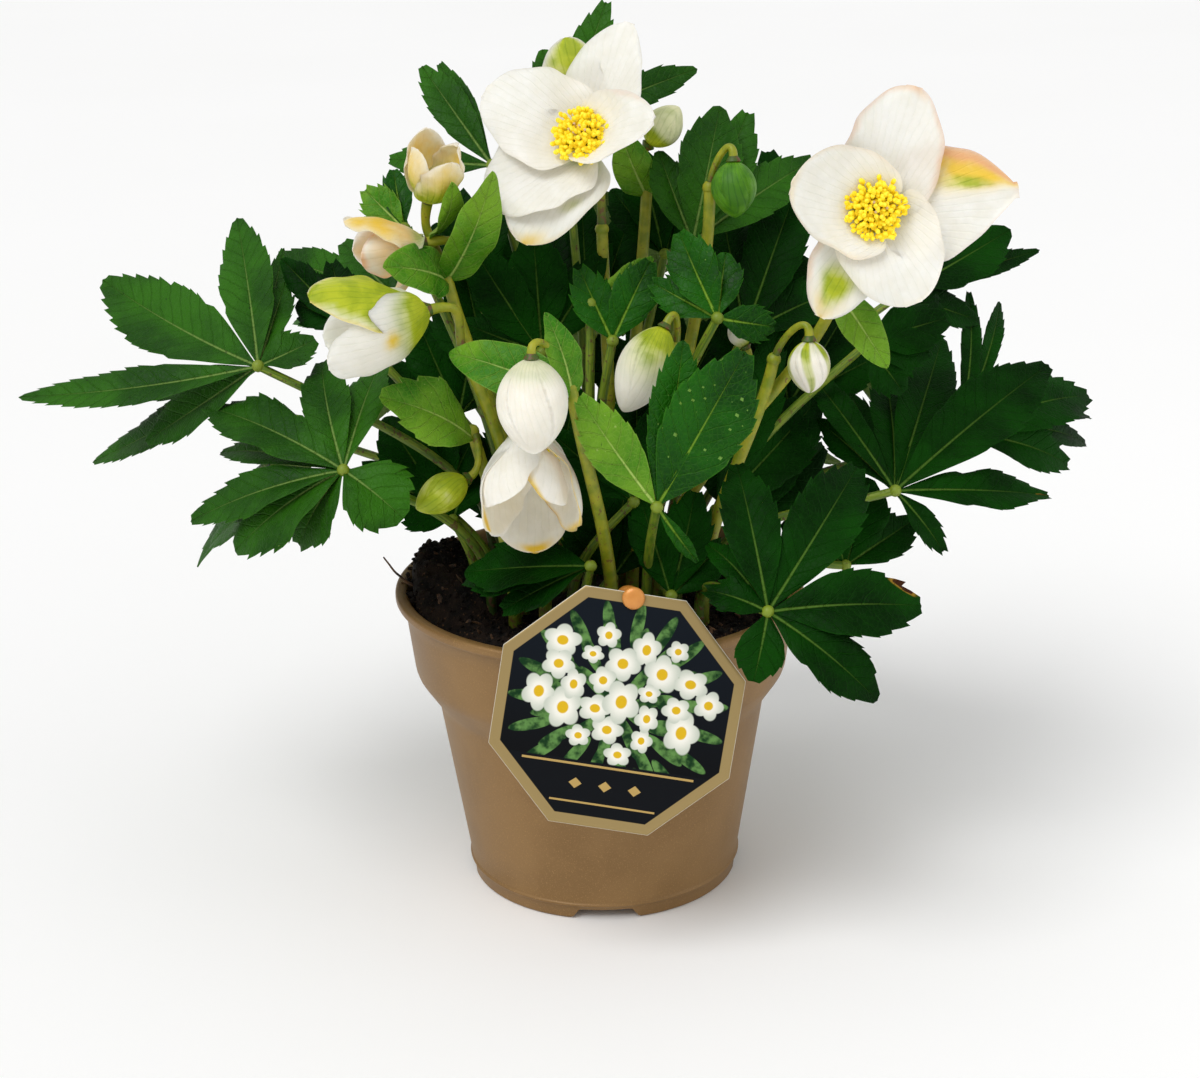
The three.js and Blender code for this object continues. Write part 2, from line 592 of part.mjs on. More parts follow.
// Each leaf: its knob, the way its face looks, the root's distance and azimuth from the middle, and
// its leaflets as bearing, length, width and drop.
const LEAVES = [
  {
    name: "leaf_upper_left",
    knob: [-104, -11, 177],
    facing: [-110, 51],
    root: [30, 179],
    arch: -0.02,
    leaflets: [[155, 79, 26, 5], [-166, 80, 16, 0], [180, 82, 16, 22], [-168, 85, 16, 30], [116, 63, 19, 0],
      [105, 58, 9, 12], [47, 20, 17, 12]],
  },
  {
    name: "leaf_lower_left",
    knob: [-76.5, -38, 151.5],
    facing: [-105, 55],
    root: [38, 205],
    arch: 0.07,
    leaflets: [[158, 55, 21, 0], [161, 58, 11, 20], [-164, 53, 16, 14], [-173, 66, 18, 35],
      [114, 45, 16, 0], [91, 46, 15, 5], [-28, 24, 25, 20]],
  },
  {
    name: "leaf_front_right",
    knob: [49, -76, 118],
    facing: [-85, 40],
    root: [46, -48],
    arch: 0.12,
    leaflets: [[96, 47, 18, 0], [55, 58, 22, 8], [0, 46, 22, 3], [-42, 41, 19, 8], [-105, 21, 15, 25],
      [154, 19, 12, 8], [119, 32, 9, 22]],
  },
  {
    name: "leaf_upper_right",
    knob: [92, -25, 137],
    facing: [-80, 50],
    root: [36, -20],
    arch: 0.05,
    leaflets: [[35, 74, 24, 0], [-1, 53, 16, 10], [63, 71, 18, 8], [80, 54, 15, 10], [111, 53, 11, 2],
      [116, 39, 11, 14], [-43, 26, 9, 35]],
  },
  {
    name: "leaf_far_right",
    knob: [118.5, 21, 141],
    facing: [-68, 41],
    root: [44, 12],
    arch: 0.1,
    leaflets: [[67, 54, 8, 0], [52, 64, 7, 10], [9, 59, 21, 8], [-2, 66, 12, 22]],
  },
  {
    name: "leaf_behind_right",
    knob: [101, 35, 185],
    facing: [-75, 45],
    root: [25, 22],
    arch: -0.02,
    leaflets: [[26, 51, 21, 4], [19, 66, 9, 14], [-13, 31, 14, 22], [-38, 17, 16, 18], [128, 23, 16, 5]],
  },
  {
    name: "leaf_top",
    knob: [-8.5, 33, 242],
    facing: [-90, 25],
    root: [10, 100],
    leaflets: [[70, 42, 14, 0], [23, 47, 12, 5], [104, 26, 13, 5], [-114, 16, 12, 10]],
  },
  {
    name: "leaf_top_left",
    knob: [-31, 20, 232],
    facing: [-110, 29],
    root: [13, 140],
    leaflets: [[133, 43, 13, 0], [127, 44, 10, 8], [175, 42, 12, 15]],
  },
  {
    name: "leaf_top_right",
    knob: [31, 3.5, 210],
    facing: [-84, 24],
    root: [14, 13],
    leaflets: [[75, 44, 21, 0], [63, 48, 18, 10], [33, 53, 16, 16], [106, 31, 14, 5]],
  },
  {
    name: "leaf_middle_right",
    knob: [47, 0, 181],
    facing: [-90, 40],
    root: [22, -6],
    leaflets: [[70, 54, 20, 0], [97, 54, 18, 5], [32, 39, 17, 15]],
  },
  {
    name: "leaf_inner_young",
    knob: [37, -27, 193.5],
    facing: [-97, 26],
    root: [16, -49],
    leaflets: [[115, 29, 16, 0], [85, 21, 13, 8], [150, 24, 12, 12], [-4, 18, 12, 20]],
  },
  {
    name: "leaf_front_young",
    knob: [17.5, -56, 144],
    facing: [-89, 2],
    root: [37, -67],
    leaflets: [[123, 41, 16, 0], [60, 53, 27, 3], [80, 50, 16, 7], [-58, 24, 5, 15]],
  },
  {
    name: "leaf_front_low",
    knob: [-2.5, -46, 122],
    facing: [-99, 69],
    root: [42, -97],
    leaflets: [[176, 41, 22, 10], [-165, 31, 16, 25]],
  },
  {
    name: "leaf_behind_left",
    knob: [-63, 35, 185],
    facing: [-110, 45],
    root: [24, 152],
    leaflets: [[142, 34, 16, 0], [160, 60, 16, 10], [178, 53, 16, 25], [106, 34, 13, 0]],
  },
  {
    name: "leaf_middle",
    knob: [-16.5, -3, 177.5],
    facing: [-96, 6],
    root: [9, -152],
    leaflets: [[123, 38, 18, 0], [94, 38, 20, 5], [58, 35, 16, 8], [163, 27, 14, 15]],
  },
  {
    name: "leaf_low_right",
    knob: [37, -14, 128],
    facing: [-73, 18],
    root: [27, -23],
    leaflets: [[38, 52, 23, 5], [63, 61, 18, 0], [15, 49, 14, 20]],
  },
  {
    name: "leaf_middle_low",
    knob: [11, -32, 137.5],
    facing: [-93, -1],
    root: [30, -107],
    leaflets: [[110, 34, 18, 0], [66, 41, 20, 0], [88, 37, 18, 6], [140, 34, 15, 8]],
  },
  {
    name: "leaf_right_inner",
    knob: [62, 14, 153.5],
    facing: [-85, 25],
    root: [29, 10],
    leaflets: [[96, 51, 20, 0], [55, 44, 20, 5], [130, 36, 18, 5], [26, 39, 16, 12]],
  },
  {
    name: "leaf_left_inner",
    knob: [-44, 10.5, 153.5],
    facing: [-95, 13],
    root: [19, 166],
    leaflets: [[80, 37, 18, 0], [114, 34, 18, 4], [153, 31, 17, 8], [47, 38, 16, 6]],
  },
  {
    name: "leaf_deep_left",
    knob: [-14.5, 0.5, 128],
    facing: [-95, 5],
    root: [11, 171],
    leaflets: [[118, 40, 21, 4], [152, 38, 18, 8], [78, 38, 19, 0], [185, 30, 15, 12]],
  },
  {
    name: "leaf_deep_right",
    knob: [23, 14, 147.5],
    facing: [-88, 23],
    root: [21, 43],
    leaflets: [[95, 44, 22, 0], [60, 42, 20, 4], [128, 38, 19, 4], [28, 34, 16, 10]],
  },
  {
    name: "leaf_centre_young",
    knob: [5.5, -17.5, 184.5],
    facing: [-82, 16],
    root: [12, -108],
    leaflets: [[61, 27, 15, 0], [111, 24, 14, 4]],
  },
];

// Leaves round the back share one spread of leaflets, and hang over the rim.
const BACK_SPREAD = [[-90, 62, 23, 8], [-48, 58, 22, 12], [-132, 58, 22, 12], [-4, 48, 19, 6],
  [184, 48, 19, 6]];
const BACK_LEAVES = [
  { name: "leaf_back_right", knob: [78, 62, 160], facing: [35, 50], root: [34, 38] },
  { name: "leaf_back_middle", knob: [22, 96, 172], facing: [80, 52], root: [30, 74] },
  { name: "leaf_back_left", knob: [-46, 88, 158], facing: [120, 50], root: [32, 112] },
  { name: "leaf_back_far_left", knob: [-98, 40, 140], facing: [162, 48], root: [38, 150] },
  { name: "leaf_back_high", knob: [12, 56, 214], facing: [75, 60], root: [14, 95] },
  { name: "leaf_back_low", knob: [44, 84, 124], facing: [60, 45], root: [42, 62] },
];

// Each flower: the middle of its knob and the way it faces. Open ones have sepals as turn, length,
// width, opening angles at root and tip, and layer, and small ones split them into fewer rows; buds
// have a length and a width.
const FLOWERS = {
  upper: {
    at: [-1, -5, 242],
    facing: [-110, 36],
    sepals: [[160, 35, 34, [35, 0], 0], [103, 33, 20, [35, 20], 2], [80, 39, 30, [35, 0], 1],
      [-8, 33, 28, [46, 36], 0], [-106, 37, 34, [30, -10], 1], [-156, 34, 28, [30, -5], 2]],
  },
  right: {
    at: [82, -33, 226],
    facing: [-88, 18],
    sepals: [[71, 38, 32, [35, 0], 1], [6, 43, 36, [35, 0.5], 2], [-70, 30, 36, [35, -5], 0],
      [-119, 35, 24, [30, -10], 1], [172, 29, 36, [45, 20], 0]],
  },
  bell: {
    at: [-21, -38, 161],
    facing: [-90, -50],
    wrap: 1,
    cup: 0,
    sepals: [[-85, 36, 26, [26, 112], 2], [-15, 35, 25, [26, 110], 1], [55, 32, 25, [28, 108], 0],
      [125, 32, 25, [28, 108], 1], [-158, 36, 26, [26, 110], 0]],
  },
  left: {
    at: [-51, -38, 200],
    facing: [-166, -10],
    wrap: 1,
    cup: 0,
    sepals: [[-20, 34, 29, [38, 106], 2], [58, 36, 27, [42, 88], 1], [125, 32, 26, [42, 95], 0],
      [-160, 32, 26, [38, 100], 1], [-88, 32, 26, [38, 106], 0]],
  },
  peach: {
    at: [-52, -14, 215],
    facing: [-168, -8],
    wrap: 1,
    cup: 0,
    knob: 0.8,
    rows: 3,
    sepals: [[0, 21, 20, [40, 105], 0], [80, 24, 20, [40, 95], 1], [180, 22, 20, [40, 105], 0],
      [-80, 28, 19, [30, 75], 1]],
  },
  pale: {
    at: [-49, -12, 229],
    facing: [-60, 62],
    wrap: 1,
    cup: 0,
    knob: 0.8,
    rows: 3,
    sepals: [[0, 20, 19, [30, 112], 0], [90, 21, 19, [30, 105], 1], [180, 20, 19, [30, 112], 0],
      [-90, 20, 19, [30, 108], 1]],
  },
  egg: { at: [-18, -66, 193], facing: [-90, -86], length: 28, width: 21, knob: 0.6 },
  slim: { at: [21, -31, 192], facing: [-150, -58], length: 28, width: 16.5, knob: 0.6 },
  small: { at: [46, -18, 182], facing: [150, 60], length: 9, width: 7, knob: 0.5 },
  striped: { at: [64, -34, 188], facing: [-90, -85], length: 16, width: 13, knob: 0.6 },
  yellow: { at: [-40, -29, 145], facing: [-160, -25], length: 18, width: 12, knob: 0.6 },
  hidden: { at: [18, 17, 238], facing: [0, 50], length: 15, width: 12, knob: 0.6 },
  green: { at: [43, -7, 237], facing: [-85, -80], length: 17, width: 14, knob: 0.6 },
};

const SCAPES = [
  { name: "scape_upper", root: [10, 60], joint: [3, 6, 214], lean: [100, 82], carries: ["upper"] },
  {
    name: "scape_right",
    root: [26, -44],
    joint: [74, -26, 203],
    lean: [-20, 75],
    carries: ["right"],
    bracts: [{ tip: [87, -38, 180], width: 12, facing: [-90, 20] }],
  },
  {
    name: "scape_bell",
    root: [36, -118],
    joint: [-18, -28, 166],
    lean: [120, 80],
    carries: ["bell"],
  },
  {
    name: "scape_left",
    root: [28, -150],
    joint: [-39, -29, 183],
    lean: [180, 65],
    carries: ["left"],
  },
  {
    name: "scape_double",
    root: [22, -165],
    joint: [-45, -12, 206],
    lean: [165, 78],
    carries: ["peach", "pale"],
    bracts: [
      { tip: [-29, -21, 238], width: 16, facing: [-60, 20] },
      { tip: [-62, -31, 212], width: 17, facing: [-100, 30] },
      { tip: [-41, -26, 236], width: 10, facing: [-50, 20], stalk: 1 },
    ],
  },
  {
    name: "scape_egg",
    root: [38, -84],
    joint: [-7, -54, 181],
    lean: [120, 75],
    carries: ["egg"],
    hook: 8,
    bracts: [
      { tip: [-14, -57, 204], width: 11, facing: [-60, 10] },
      { tip: [-43, -40, 188], width: 16, facing: [-90, 25] },
    ],
  },
  {
    name: "scape_slim",
    root: [22, -62],
    joint: [24.5, -27, 184.5],
    lean: [60, 64],
    carries: ["slim"],
    hook: 8,
  },
  {
    name: "scape_small",
    root: [21, -29],
    joint: [46, -13.5, 170.5],
    lean: [64, 78],
    carries: ["small"],
    hook: 4,
  },
  {
    name: "scape_striped",
    root: [41, -38],
    joint: [54, -27.5, 180.5],
    lean: [-24, 79],
    carries: ["striped"],
    hook: 8,
  },
  {
    name: "scape_yellow",
    root: [36, -138],
    joint: [-38, -22, 158],
    lean: [150, 75],
    carries: ["yellow"],
    hook: 7,
    bracts: [{ tip: [-64, -44, 176], width: 22, facing: [-95, 40], edge: TOOTHED_EDGE }],
  },
  {
    name: "scape_hidden",
    root: [9, -26],
    joint: [17.5, 22, 224],
    lean: [62, 82],
    carries: ["hidden"],
    hook: 5,
    bracts: [{ tip: [9, 15, 243], width: 13, facing: [-100, 10] }],
  },
  {
    name: "scape_green",
    root: [18, -10],
    joint: [36, -2, 228],
    lean: [100, 85],
    carries: ["green"],
    hook: 8,
  },
];

const plant = new THREE.Group();

const pinFoot = footAt([50, -84], PIN_RADIUS);
const backLeaves = BACK_LEAVES.map((leaf) => ({ ...leaf, leaflets: BACK_SPREAD }));
const leaves = [...LEAVES, ...backLeaves].map((leaf) => ({
  ...leaf,
  foot: footAt(leaf.root, LEAF_STALK_RADIUS),
}));
const scapes = SCAPES.map((scape) => ({
  ...scape,
  foot: footAt(scape.root, SCAPE_RADIUS),
  carries: scape.carries.map((flower) => FLOWERS[flower]),
}));
const feet = [pinFoot, ...leaves.map((leaf) => leaf.foot), ...scapes.map((scape) => scape.foot)];

plant.add(namedMesh("pot", potSolid(), potPlastic));
plant.add(namedMesh("soil", soilSolid(feet), peat));
plant.add(namedMesh("label", labelSolid(), labelCard));
plant.add(namedMesh("label_pin", pinSolid(pinFoot), pinCopper));
for (const leaf of leaves) {
  plant.add(namedMesh(leaf.name, leafSolid(leaf), leaf.name.endsWith("young") ? youngLeaf : matureLeaf));
}
for (const scape of scapes) {
  plant.add(namedMesh(scape.name, scapeSolid(scape), scapeGreen));
}
for (const [name, flower] of Object.entries(FLOWERS)) {
  const finish = name === "green" ? budGreen : sepalWhite;
  if (flower.sepals) {
    plant.add(namedMesh(`bloom_${name}`, openBloomSolid(flower), finish));
  } else {
    plant.add(namedMesh(`bud_${name}`, budSolid(flower), finish));
  }
}
for (const name of ["upper", "right", "bell"]) {
  plant.add(namedMesh(`stamens_${name}`, stamensSolid(FLOWERS[name]), stamenYellow));
}

export default plant;
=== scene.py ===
from math import radians

import bpy
import numpy as np
from mathutils import Matrix, Vector


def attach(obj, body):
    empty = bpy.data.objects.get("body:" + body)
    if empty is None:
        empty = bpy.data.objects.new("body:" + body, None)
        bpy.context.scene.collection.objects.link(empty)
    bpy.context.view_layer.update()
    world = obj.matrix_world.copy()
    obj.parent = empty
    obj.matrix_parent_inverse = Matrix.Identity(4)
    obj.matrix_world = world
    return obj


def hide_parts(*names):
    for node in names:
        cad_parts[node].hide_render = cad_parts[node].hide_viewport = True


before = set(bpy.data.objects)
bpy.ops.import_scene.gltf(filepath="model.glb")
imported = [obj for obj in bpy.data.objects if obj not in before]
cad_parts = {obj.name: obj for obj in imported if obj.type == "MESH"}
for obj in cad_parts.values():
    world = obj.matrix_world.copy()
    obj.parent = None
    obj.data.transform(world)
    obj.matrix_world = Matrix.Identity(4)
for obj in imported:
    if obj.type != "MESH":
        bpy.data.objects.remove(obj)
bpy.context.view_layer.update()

# ---- Camera, light and floor ----
# A plant on a pale table under soft studio light: one broad even light from high on the front left, a
# weak soft box on the right, and a white room. Sizes are millimetres until a mesh or a lamp is made.

MM = 0.001
CAMERA_TARGET = (0.5, 0, 114)
CAMERA_DISTANCE = 759.4
CAMERA_ELEVATION = radians(19.92)
CAMERA_ROLL = radians(-1.135)
CAMERA_LENS = 70.7  # on a sensor 36 mm wide
ROOM_BRIGHTNESS = 0.6
SUN_FROM = (-0.5, -0.62, 1.1)
SUN_STRENGTH = 1.6
SUN_SPREAD = radians(38)
FLOOR_REACH = 9000
FLOOR_DROP = 0.15  # the floor lies this little below the pot's foot, so the two never share a plane

scene = bpy.context.scene
scene.view_settings.view_transform = "Standard"

camera = bpy.data.objects.new("camera", bpy.data.cameras.new("camera"))
camera.data.lens = CAMERA_LENS
camera.matrix_world = (
    Matrix.Translation(Vector(CAMERA_TARGET) * MM)
    @ Matrix.Rotation(radians(90) - CAMERA_ELEVATION, 4, "X")
    @ Matrix.Rotation(CAMERA_ROLL, 4, "Z")
    @ Matrix.Translation((0, 0, CAMERA_DISTANCE * MM))
)
scene.collection.objects.link(camera)
scene.camera = camera


def soft_box(name, place, size, watts):
    """A square lamp that looks at the middle of the plant."""
    lamp = bpy.data.objects.new(name, bpy.data.lights.new(name, "AREA"))
    lamp.data.size = size * MM
    lamp.data.energy = watts
    away = (Vector(place) - Vector(CAMERA_TARGET)) * MM
    turned = away.to_track_quat("Z", "Y").to_matrix().to_4x4()
    lamp.matrix_world = Matrix.Translation(Vector(place) * MM) @ turned
    scene.collection.objects.link(lamp)


soft_box("side_light", place=(1100, -500, 500), size=800, watts=2)
sun = bpy.data.objects.new("broad_light", bpy.data.lights.new("broad_light", "SUN"))
sun.data.energy = SUN_STRENGTH
sun.data.angle = SUN_SPREAD
sun.rotation_euler = Vector(SUN_FROM).to_track_quat("Z", "Y").to_euler()
scene.collection.objects.link(sun)

scene.world = bpy.data.worlds.new("room")
scene.world.use_nodes = True
room = scene.world.node_tree.nodes["Background"]
room.inputs["Color"].default_value = (1, 1, 1, 1)
room.inputs["Strength"].default_value = ROOM_BRIGHTNESS


def tone(code):
    """The linear colour of a shade written as #rrggbb."""
    share = np.array([int(code[start:start + 2], 16) for start in (1, 3, 5)]) / 255
    linear = np.where(share <= 0.04045, share / 12.92, ((share + 0.055) / 1.055) ** 2.4)
    return (*linear.tolist(), 1.0)


class Wire:
    """One output in a material. The usual signs add Math nodes, and node() adds any other kind."""

    def __init__(self, tree, socket=None):
        self.tree = tree
        self.socket = socket

    def node(self, kind, settings=None, sockets=None, output=0):
        """Adds a node: its settings first, then the values or links of its sockets."""
        made = self.tree.nodes.new("ShaderNode" + kind)
        for name, value in (settings or {}).items():
            setattr(made, name, value)
        for name, value in (sockets or {}).items():
            if isinstance(value, Wire):
                self.tree.links.new(value.socket, made.inputs[name])
            else:
                made.inputs[name].default_value = value
        return Wire(self.tree, made.outputs[output])

    def math(self, operation, first, second=0.0):
        return self.node("Math", {"operation": operation}, {0: first, 1: second})

    def __add__(self, other):
        return self.math("ADD", self, other)

    def __sub__(self, other):
        return self.math("SUBTRACT", self, other)

    def __rsub__(self, other):
        return self.math("SUBTRACT", other, self)

    def __mul__(self, other):
        return self.math("MULTIPLY", self, other)

    def __truediv__(self, other):
        return self.math("DIVIDE", self, other)

    def __pow__(self, other):
        return self.math("POWER", self, other)

    def __abs__(self):
        return self.math("ABSOLUTE", self)

    def __gt__(self, other):
        return self.math("GREATER_THAN", self, other)

    def __lt__(self, other):
        return self.math("LESS_THAN", self, other)

    __radd__ = __add__
    __rmul__ = __mul__

    def fade(self, low, high):
        """0 up to `low` and 1 from `high` on, smooth between; falling where `high` is the smaller."""
        ends = {"Value": self, "From Min": min(low, high), "From Max": max(low, high)}
        rising = self.node("MapRange", {"interpolation_type": "SMOOTHSTEP"}, ends)
        return rising if low < high else 1 - rising

    def colour(self, without, full):
        """One colour where this mask is 0, the other where it is 1."""
        return self.node("Mix", {"data_type": "RGBA"}, {0: self, 6: without, 7: full}, output=2)

    def noise(self, at, grain, detail=3.0):
        """Cloudy noise from 0 to 1 whose patches are about `grain` mm wide."""
        return self.node("TexNoise", {}, {"Vector": at, "Scale": 1 / (grain * MM), "Detail": detail})

    def bump(self, height):
        """A surface normal raised by this value times `height` mm."""
        return self.node("Bump", {}, {"Height": self, "Distance": height * MM, "Strength": 1.0})

    def split(self):
        """The three numbers of a vector."""
        made = self.node("SeparateXYZ", {}, {0: self})
        return [Wire(self.tree, made.socket.node.outputs[number]) for number in range(3)]

    def into(self, socket):
        self.tree.links.new(self.socket, socket)


def finish(name, constants):
    """A material, its shader, and a wire on the place on the object. Constants go on the shader itself."""
    material = bpy.data.materials.new(name)
    material.use_nodes = True
    shader = material.node_tree.nodes["Principled BSDF"]
    for socket, value in constants.items():
        shader.inputs[socket].default_value = value
    return material, shader.inputs, Wire(material.node_tree).node("TexCoord", output="Object")


floor_paint, floor_inputs, place = finish("floor_paint", {"Roughness": 0.6})
place.noise(place, 400).colour(tone("#fbfbfa"), tone("#ffffff")).into(floor_inputs["Base Color"])
floor_mesh = bpy.data.meshes.new("floor")
reach = FLOOR_REACH * MM
floor_corners = ((-reach, -reach), (reach, -reach), (reach, reach), (-reach, reach))
floor_mesh.from_pydata([(x, y, -FLOOR_DROP * MM) for x, y in floor_corners], [], [(0, 1, 2, 3)])
floor_mesh.materials.append(floor_paint)
floor = bpy.data.objects.new("floor", floor_mesh)
scene.collection.objects.link(floor)

# ---- Pot ----
# A nursery pot of satin gold-brown plastic, formed in one piece from a heated sheet: a rolled lip, an
# upright band, a slanted shoulder, a tapering wall with a bead near the foot, and a foot ring with notches.

POT_HEIGHT = 100
LIP_RADIUS = 66
LIP_HEIGHT = 3.2
LIP_OVERHANG = 2.6
BAND_BOTTOM, BAND_RADIUS = 73, 60.6
SHOULDER_BOTTOM, SHOULDER_RADIUS = 62, 53.3
BEAD_HEIGHT, BEAD_RADIUS, BEAD_HALF = 5.2, 45, 0.6
FOOT_RADIUS = 44
FOOT_RING_WIDTH = 7
WALL = 1.4
FLOOR_HEIGHT, FLOOR_THICKNESS = 4, 1.8
CENTRE_PAD_RADIUS = 7
NOTCH_COUNT = 4
NOTCH_WIDTH, NOTCH_HEIGHT, NOTCH_SLANT = 22, 3.4, 2.5
POT_ROW_STEP, POT_AROUND = 6, 288  # the mesh's rows at most this far apart, and its points around
CREASE_ANGLE = radians(45)


class Skin:
    """A closed skin over a stack of rings: an array of rows, points around and xyz, in mm, counted
    anticlockwise as seen from the last ring. A point in the middle of each end ring closes it. Further
    axes in front make many such skins. Each mark is an array of the same shape, kept on the points."""

    def __init__(self, rings, **marks):
        rows, around = rings.shape[-3:-1]
        self.points = self.closed(rings)
        self.marks = {name: self.closed(values) for name, values in marks.items()}
        grid = np.zeros((rows + 2, around + 1), int)
        grid[1:-1, :-1] = 1 + np.arange(rows * around).reshape(rows, around)
        grid[1:-1, -1] = grid[1:-1, 0]
        grid[-1] = rows * around + 1
        corners = [grid[:-1, :-1], grid[:-1, 1:], grid[1:, 1:], grid[1:, :-1]]
        copies = np.arange(0, len(self.points), rows * around + 2)
        self.faces = (np.stack(corners, axis=-1).reshape(-1, 4) + copies[:, None, None]).reshape(-1, 4)

    @staticmethod
    def closed(values):
        """The rows with the middle of the first one put in front and of the last one behind."""
        rows, around = values.shape[-3:-1]
        values = values.reshape(-1, rows * around, 3)
        first = values[:, :around].mean(axis=1, keepdims=True)
        last = values[:, -around:].mean(axis=1, keepdims=True)
        return np.concatenate([first, values, last], axis=1).reshape(-1, 3)


def piece(name, parts, replaces=()):
    """One mesh object of (skin, material) pairs. A four-cornered face with a corner used twice, at a pole,
    becomes a triangle. Faces that meet at more than CREASE_ANGLE keep a sharp edge."""
    counts = [len(skin.points) for skin, _ in parts]
    starts = np.cumsum([0, *counts[:-1]])
    corners = np.concatenate([skin.faces + start for (skin, _), start in zip(parts, starts)])
    kept = corners != np.roll(corners, 1, axis=1)
    sizes = kept.sum(axis=1)
    mesh = bpy.data.meshes.new(name)
    mesh.vertices.add(sum(counts))
    mesh.vertices.foreach_set("co", np.concatenate([skin.points for skin, _ in parts]).ravel() * MM)
    mesh.loops.add(int(sizes.sum()))
    mesh.loops.foreach_set("vertex_index", corners[kept].astype(np.int32))
    mesh.polygons.add(len(sizes))
    mesh.polygons.foreach_set("loop_start", (np.cumsum(sizes) - sizes).astype(np.int32))
    materials = list(dict.fromkeys(material for _, material in parts))
    numbers = [materials.index(material) for _, material in parts]
    face_counts = [len(skin.faces) for skin, _ in parts]
    mesh.polygons.foreach_set("material_index", np.repeat(numbers, face_counts).astype(np.int32))
    for material in materials:
        mesh.materials.append(material)
    for mark in sorted({mark for skin, _ in parts for mark in skin.marks}):
        blanks = [skin.marks.get(mark, np.zeros((count, 3))) for (skin, _), count in zip(parts, counts)]
        values = mesh.attributes.new(mark, "FLOAT_VECTOR", "POINT")
        values.data.foreach_set("vector", np.concatenate(blanks).ravel())
    mesh.update(calc_edges=True)
    mesh.shade_smooth()
    mesh.set_sharp_from_angle(angle=CREASE_ANGLE)
    made = bpy.data.objects.new(name, mesh)
    scene.collection.objects.link(made)
    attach(made, "root")
    if replaces:
        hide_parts(*replaces)
    return made


def turned_rings(outline, around):
    """Rings of an outline of (radius, height) pairs turned round the upright axis."""
    radius, height = np.array(outline, float).T[:, :, None]
    angle = np.linspace(0, 2 * np.pi, around, endpoint=False)
    return np.stack([radius * np.cos(angle), radius * np.sin(angle), height + 0 * angle], axis=-1)


def drawn_outline(corners, step):
    """The outline with further points so that none are more than `step` apart, as straight stretches."""
    corners = np.array(corners, float)
    pieces = []
    for start, end in zip(corners[:-1], corners[1:]):
        count = max(1, int(np.ceil(np.linalg.norm(end - start) / step)))
        pieces.append(start + (end - start) * np.arange(count)[:, None] / count)
    return np.concatenate([*pieces, corners[-1:]])


def arc(middle, radius, first, last, count):
    """Points of a round edge, from one angle to another, in degrees."""
    angle = np.radians(np.linspace(first, last, count))
    return [tuple(point) for point in np.stack([np.cos(angle), np.sin(angle)], axis=-1) * radius + middle]


lip_bottom = POT_HEIGHT - LIP_HEIGHT
lip_root = LIP_RADIUS - LIP_OVERHANG
pot_outline = [
    (0.5, 0), (CENTRE_PAD_RADIUS - 0.4, 0), (CENTRE_PAD_RADIUS, 0.4),
    (CENTRE_PAD_RADIUS, FLOOR_HEIGHT - 0.5), (CENTRE_PAD_RADIUS + 0.5, FLOOR_HEIGHT),
    (FOOT_RADIUS - FOOT_RING_WIDTH - 0.5, FLOOR_HEIGHT),
    (FOOT_RADIUS - FOOT_RING_WIDTH, FLOOR_HEIGHT - 0.5), (FOOT_RADIUS - FOOT_RING_WIDTH, 0.4),
    (FOOT_RADIUS - FOOT_RING_WIDTH + 0.4, 0), (FOOT_RADIUS - 0.7, 0),
    *arc((FOOT_RADIUS - 0.7, 0.7), 0.7, -75, 0, 4),
    (FOOT_RADIUS + 0.35, BEAD_HEIGHT - BEAD_HALF - 0.35),
    *arc((BEAD_RADIUS - BEAD_HALF * 0.8, BEAD_HEIGHT), BEAD_HALF, -70, 70, 6),
    (FOOT_RADIUS + 0.6, BEAD_HEIGHT + BEAD_HALF + 0.4),
    (SHOULDER_RADIUS - 0.15, SHOULDER_BOTTOM - 1.4), (SHOULDER_RADIUS + 0.25, SHOULDER_BOTTOM + 0.2),
    (SHOULDER_RADIUS + 0.9, SHOULDER_BOTTOM + 1.4),
    (BAND_RADIUS - 1.6, BAND_BOTTOM - 2.4), (BAND_RADIUS - 0.7, BAND_BOTTOM - 0.9),
    (BAND_RADIUS - 0.1, BAND_BOTTOM + 0.9), (BAND_RADIUS + 0.15, BAND_BOTTOM + 2.6),
    (lip_root - 0.15, lip_bottom - 0.5), (lip_root + 0.4, lip_bottom - 0.05),
    (LIP_RADIUS - 0.8, lip_bottom + 0.1),
    *arc((LIP_RADIUS - 1, lip_bottom + 1.1), 1.0, -50, 0, 4),
    *arc((LIP_RADIUS - 1.2, POT_HEIGHT - 1.2), 1.2, 5, 90, 6),
    (lip_root - WALL + 1, POT_HEIGHT - 0.05), (lip_root - WALL + 0.2, POT_HEIGHT - 0.7),
    (BAND_RADIUS - WALL, BAND_BOTTOM), (SHOULDER_RADIUS - WALL, SHOULDER_BOTTOM),
    (FOOT_RADIUS - WALL, FLOOR_HEIGHT + FLOOR_THICKNESS), (0.5, FLOOR_HEIGHT + FLOOR_THICKNESS),
]
pot_rings = turned_rings(drawn_outline(pot_outline, POT_ROW_STEP), POT_AROUND)
# Notches: below their roof the foot ring rises to a trapezoid that narrows upwards.
sector = 2 * np.pi / NOTCH_COUNT
angle = np.arctan2(pot_rings[..., 1], pot_rings[..., 0])
from_notch = np.abs((angle + sector / 2) % sector - sector / 2) * FOOT_RADIUS
roof = NOTCH_HEIGHT * np.clip((NOTCH_WIDTH / 2 - from_notch) / NOTCH_SLANT, 0, 1)
on_ring = np.hypot(pot_rings[..., 0], pot_rings[..., 1]) > CENTRE_PAD_RADIUS + 1
pot_rings[..., 2] = np.where(on_ring, np.maximum(pot_rings[..., 2], roof), pot_rings[..., 2])

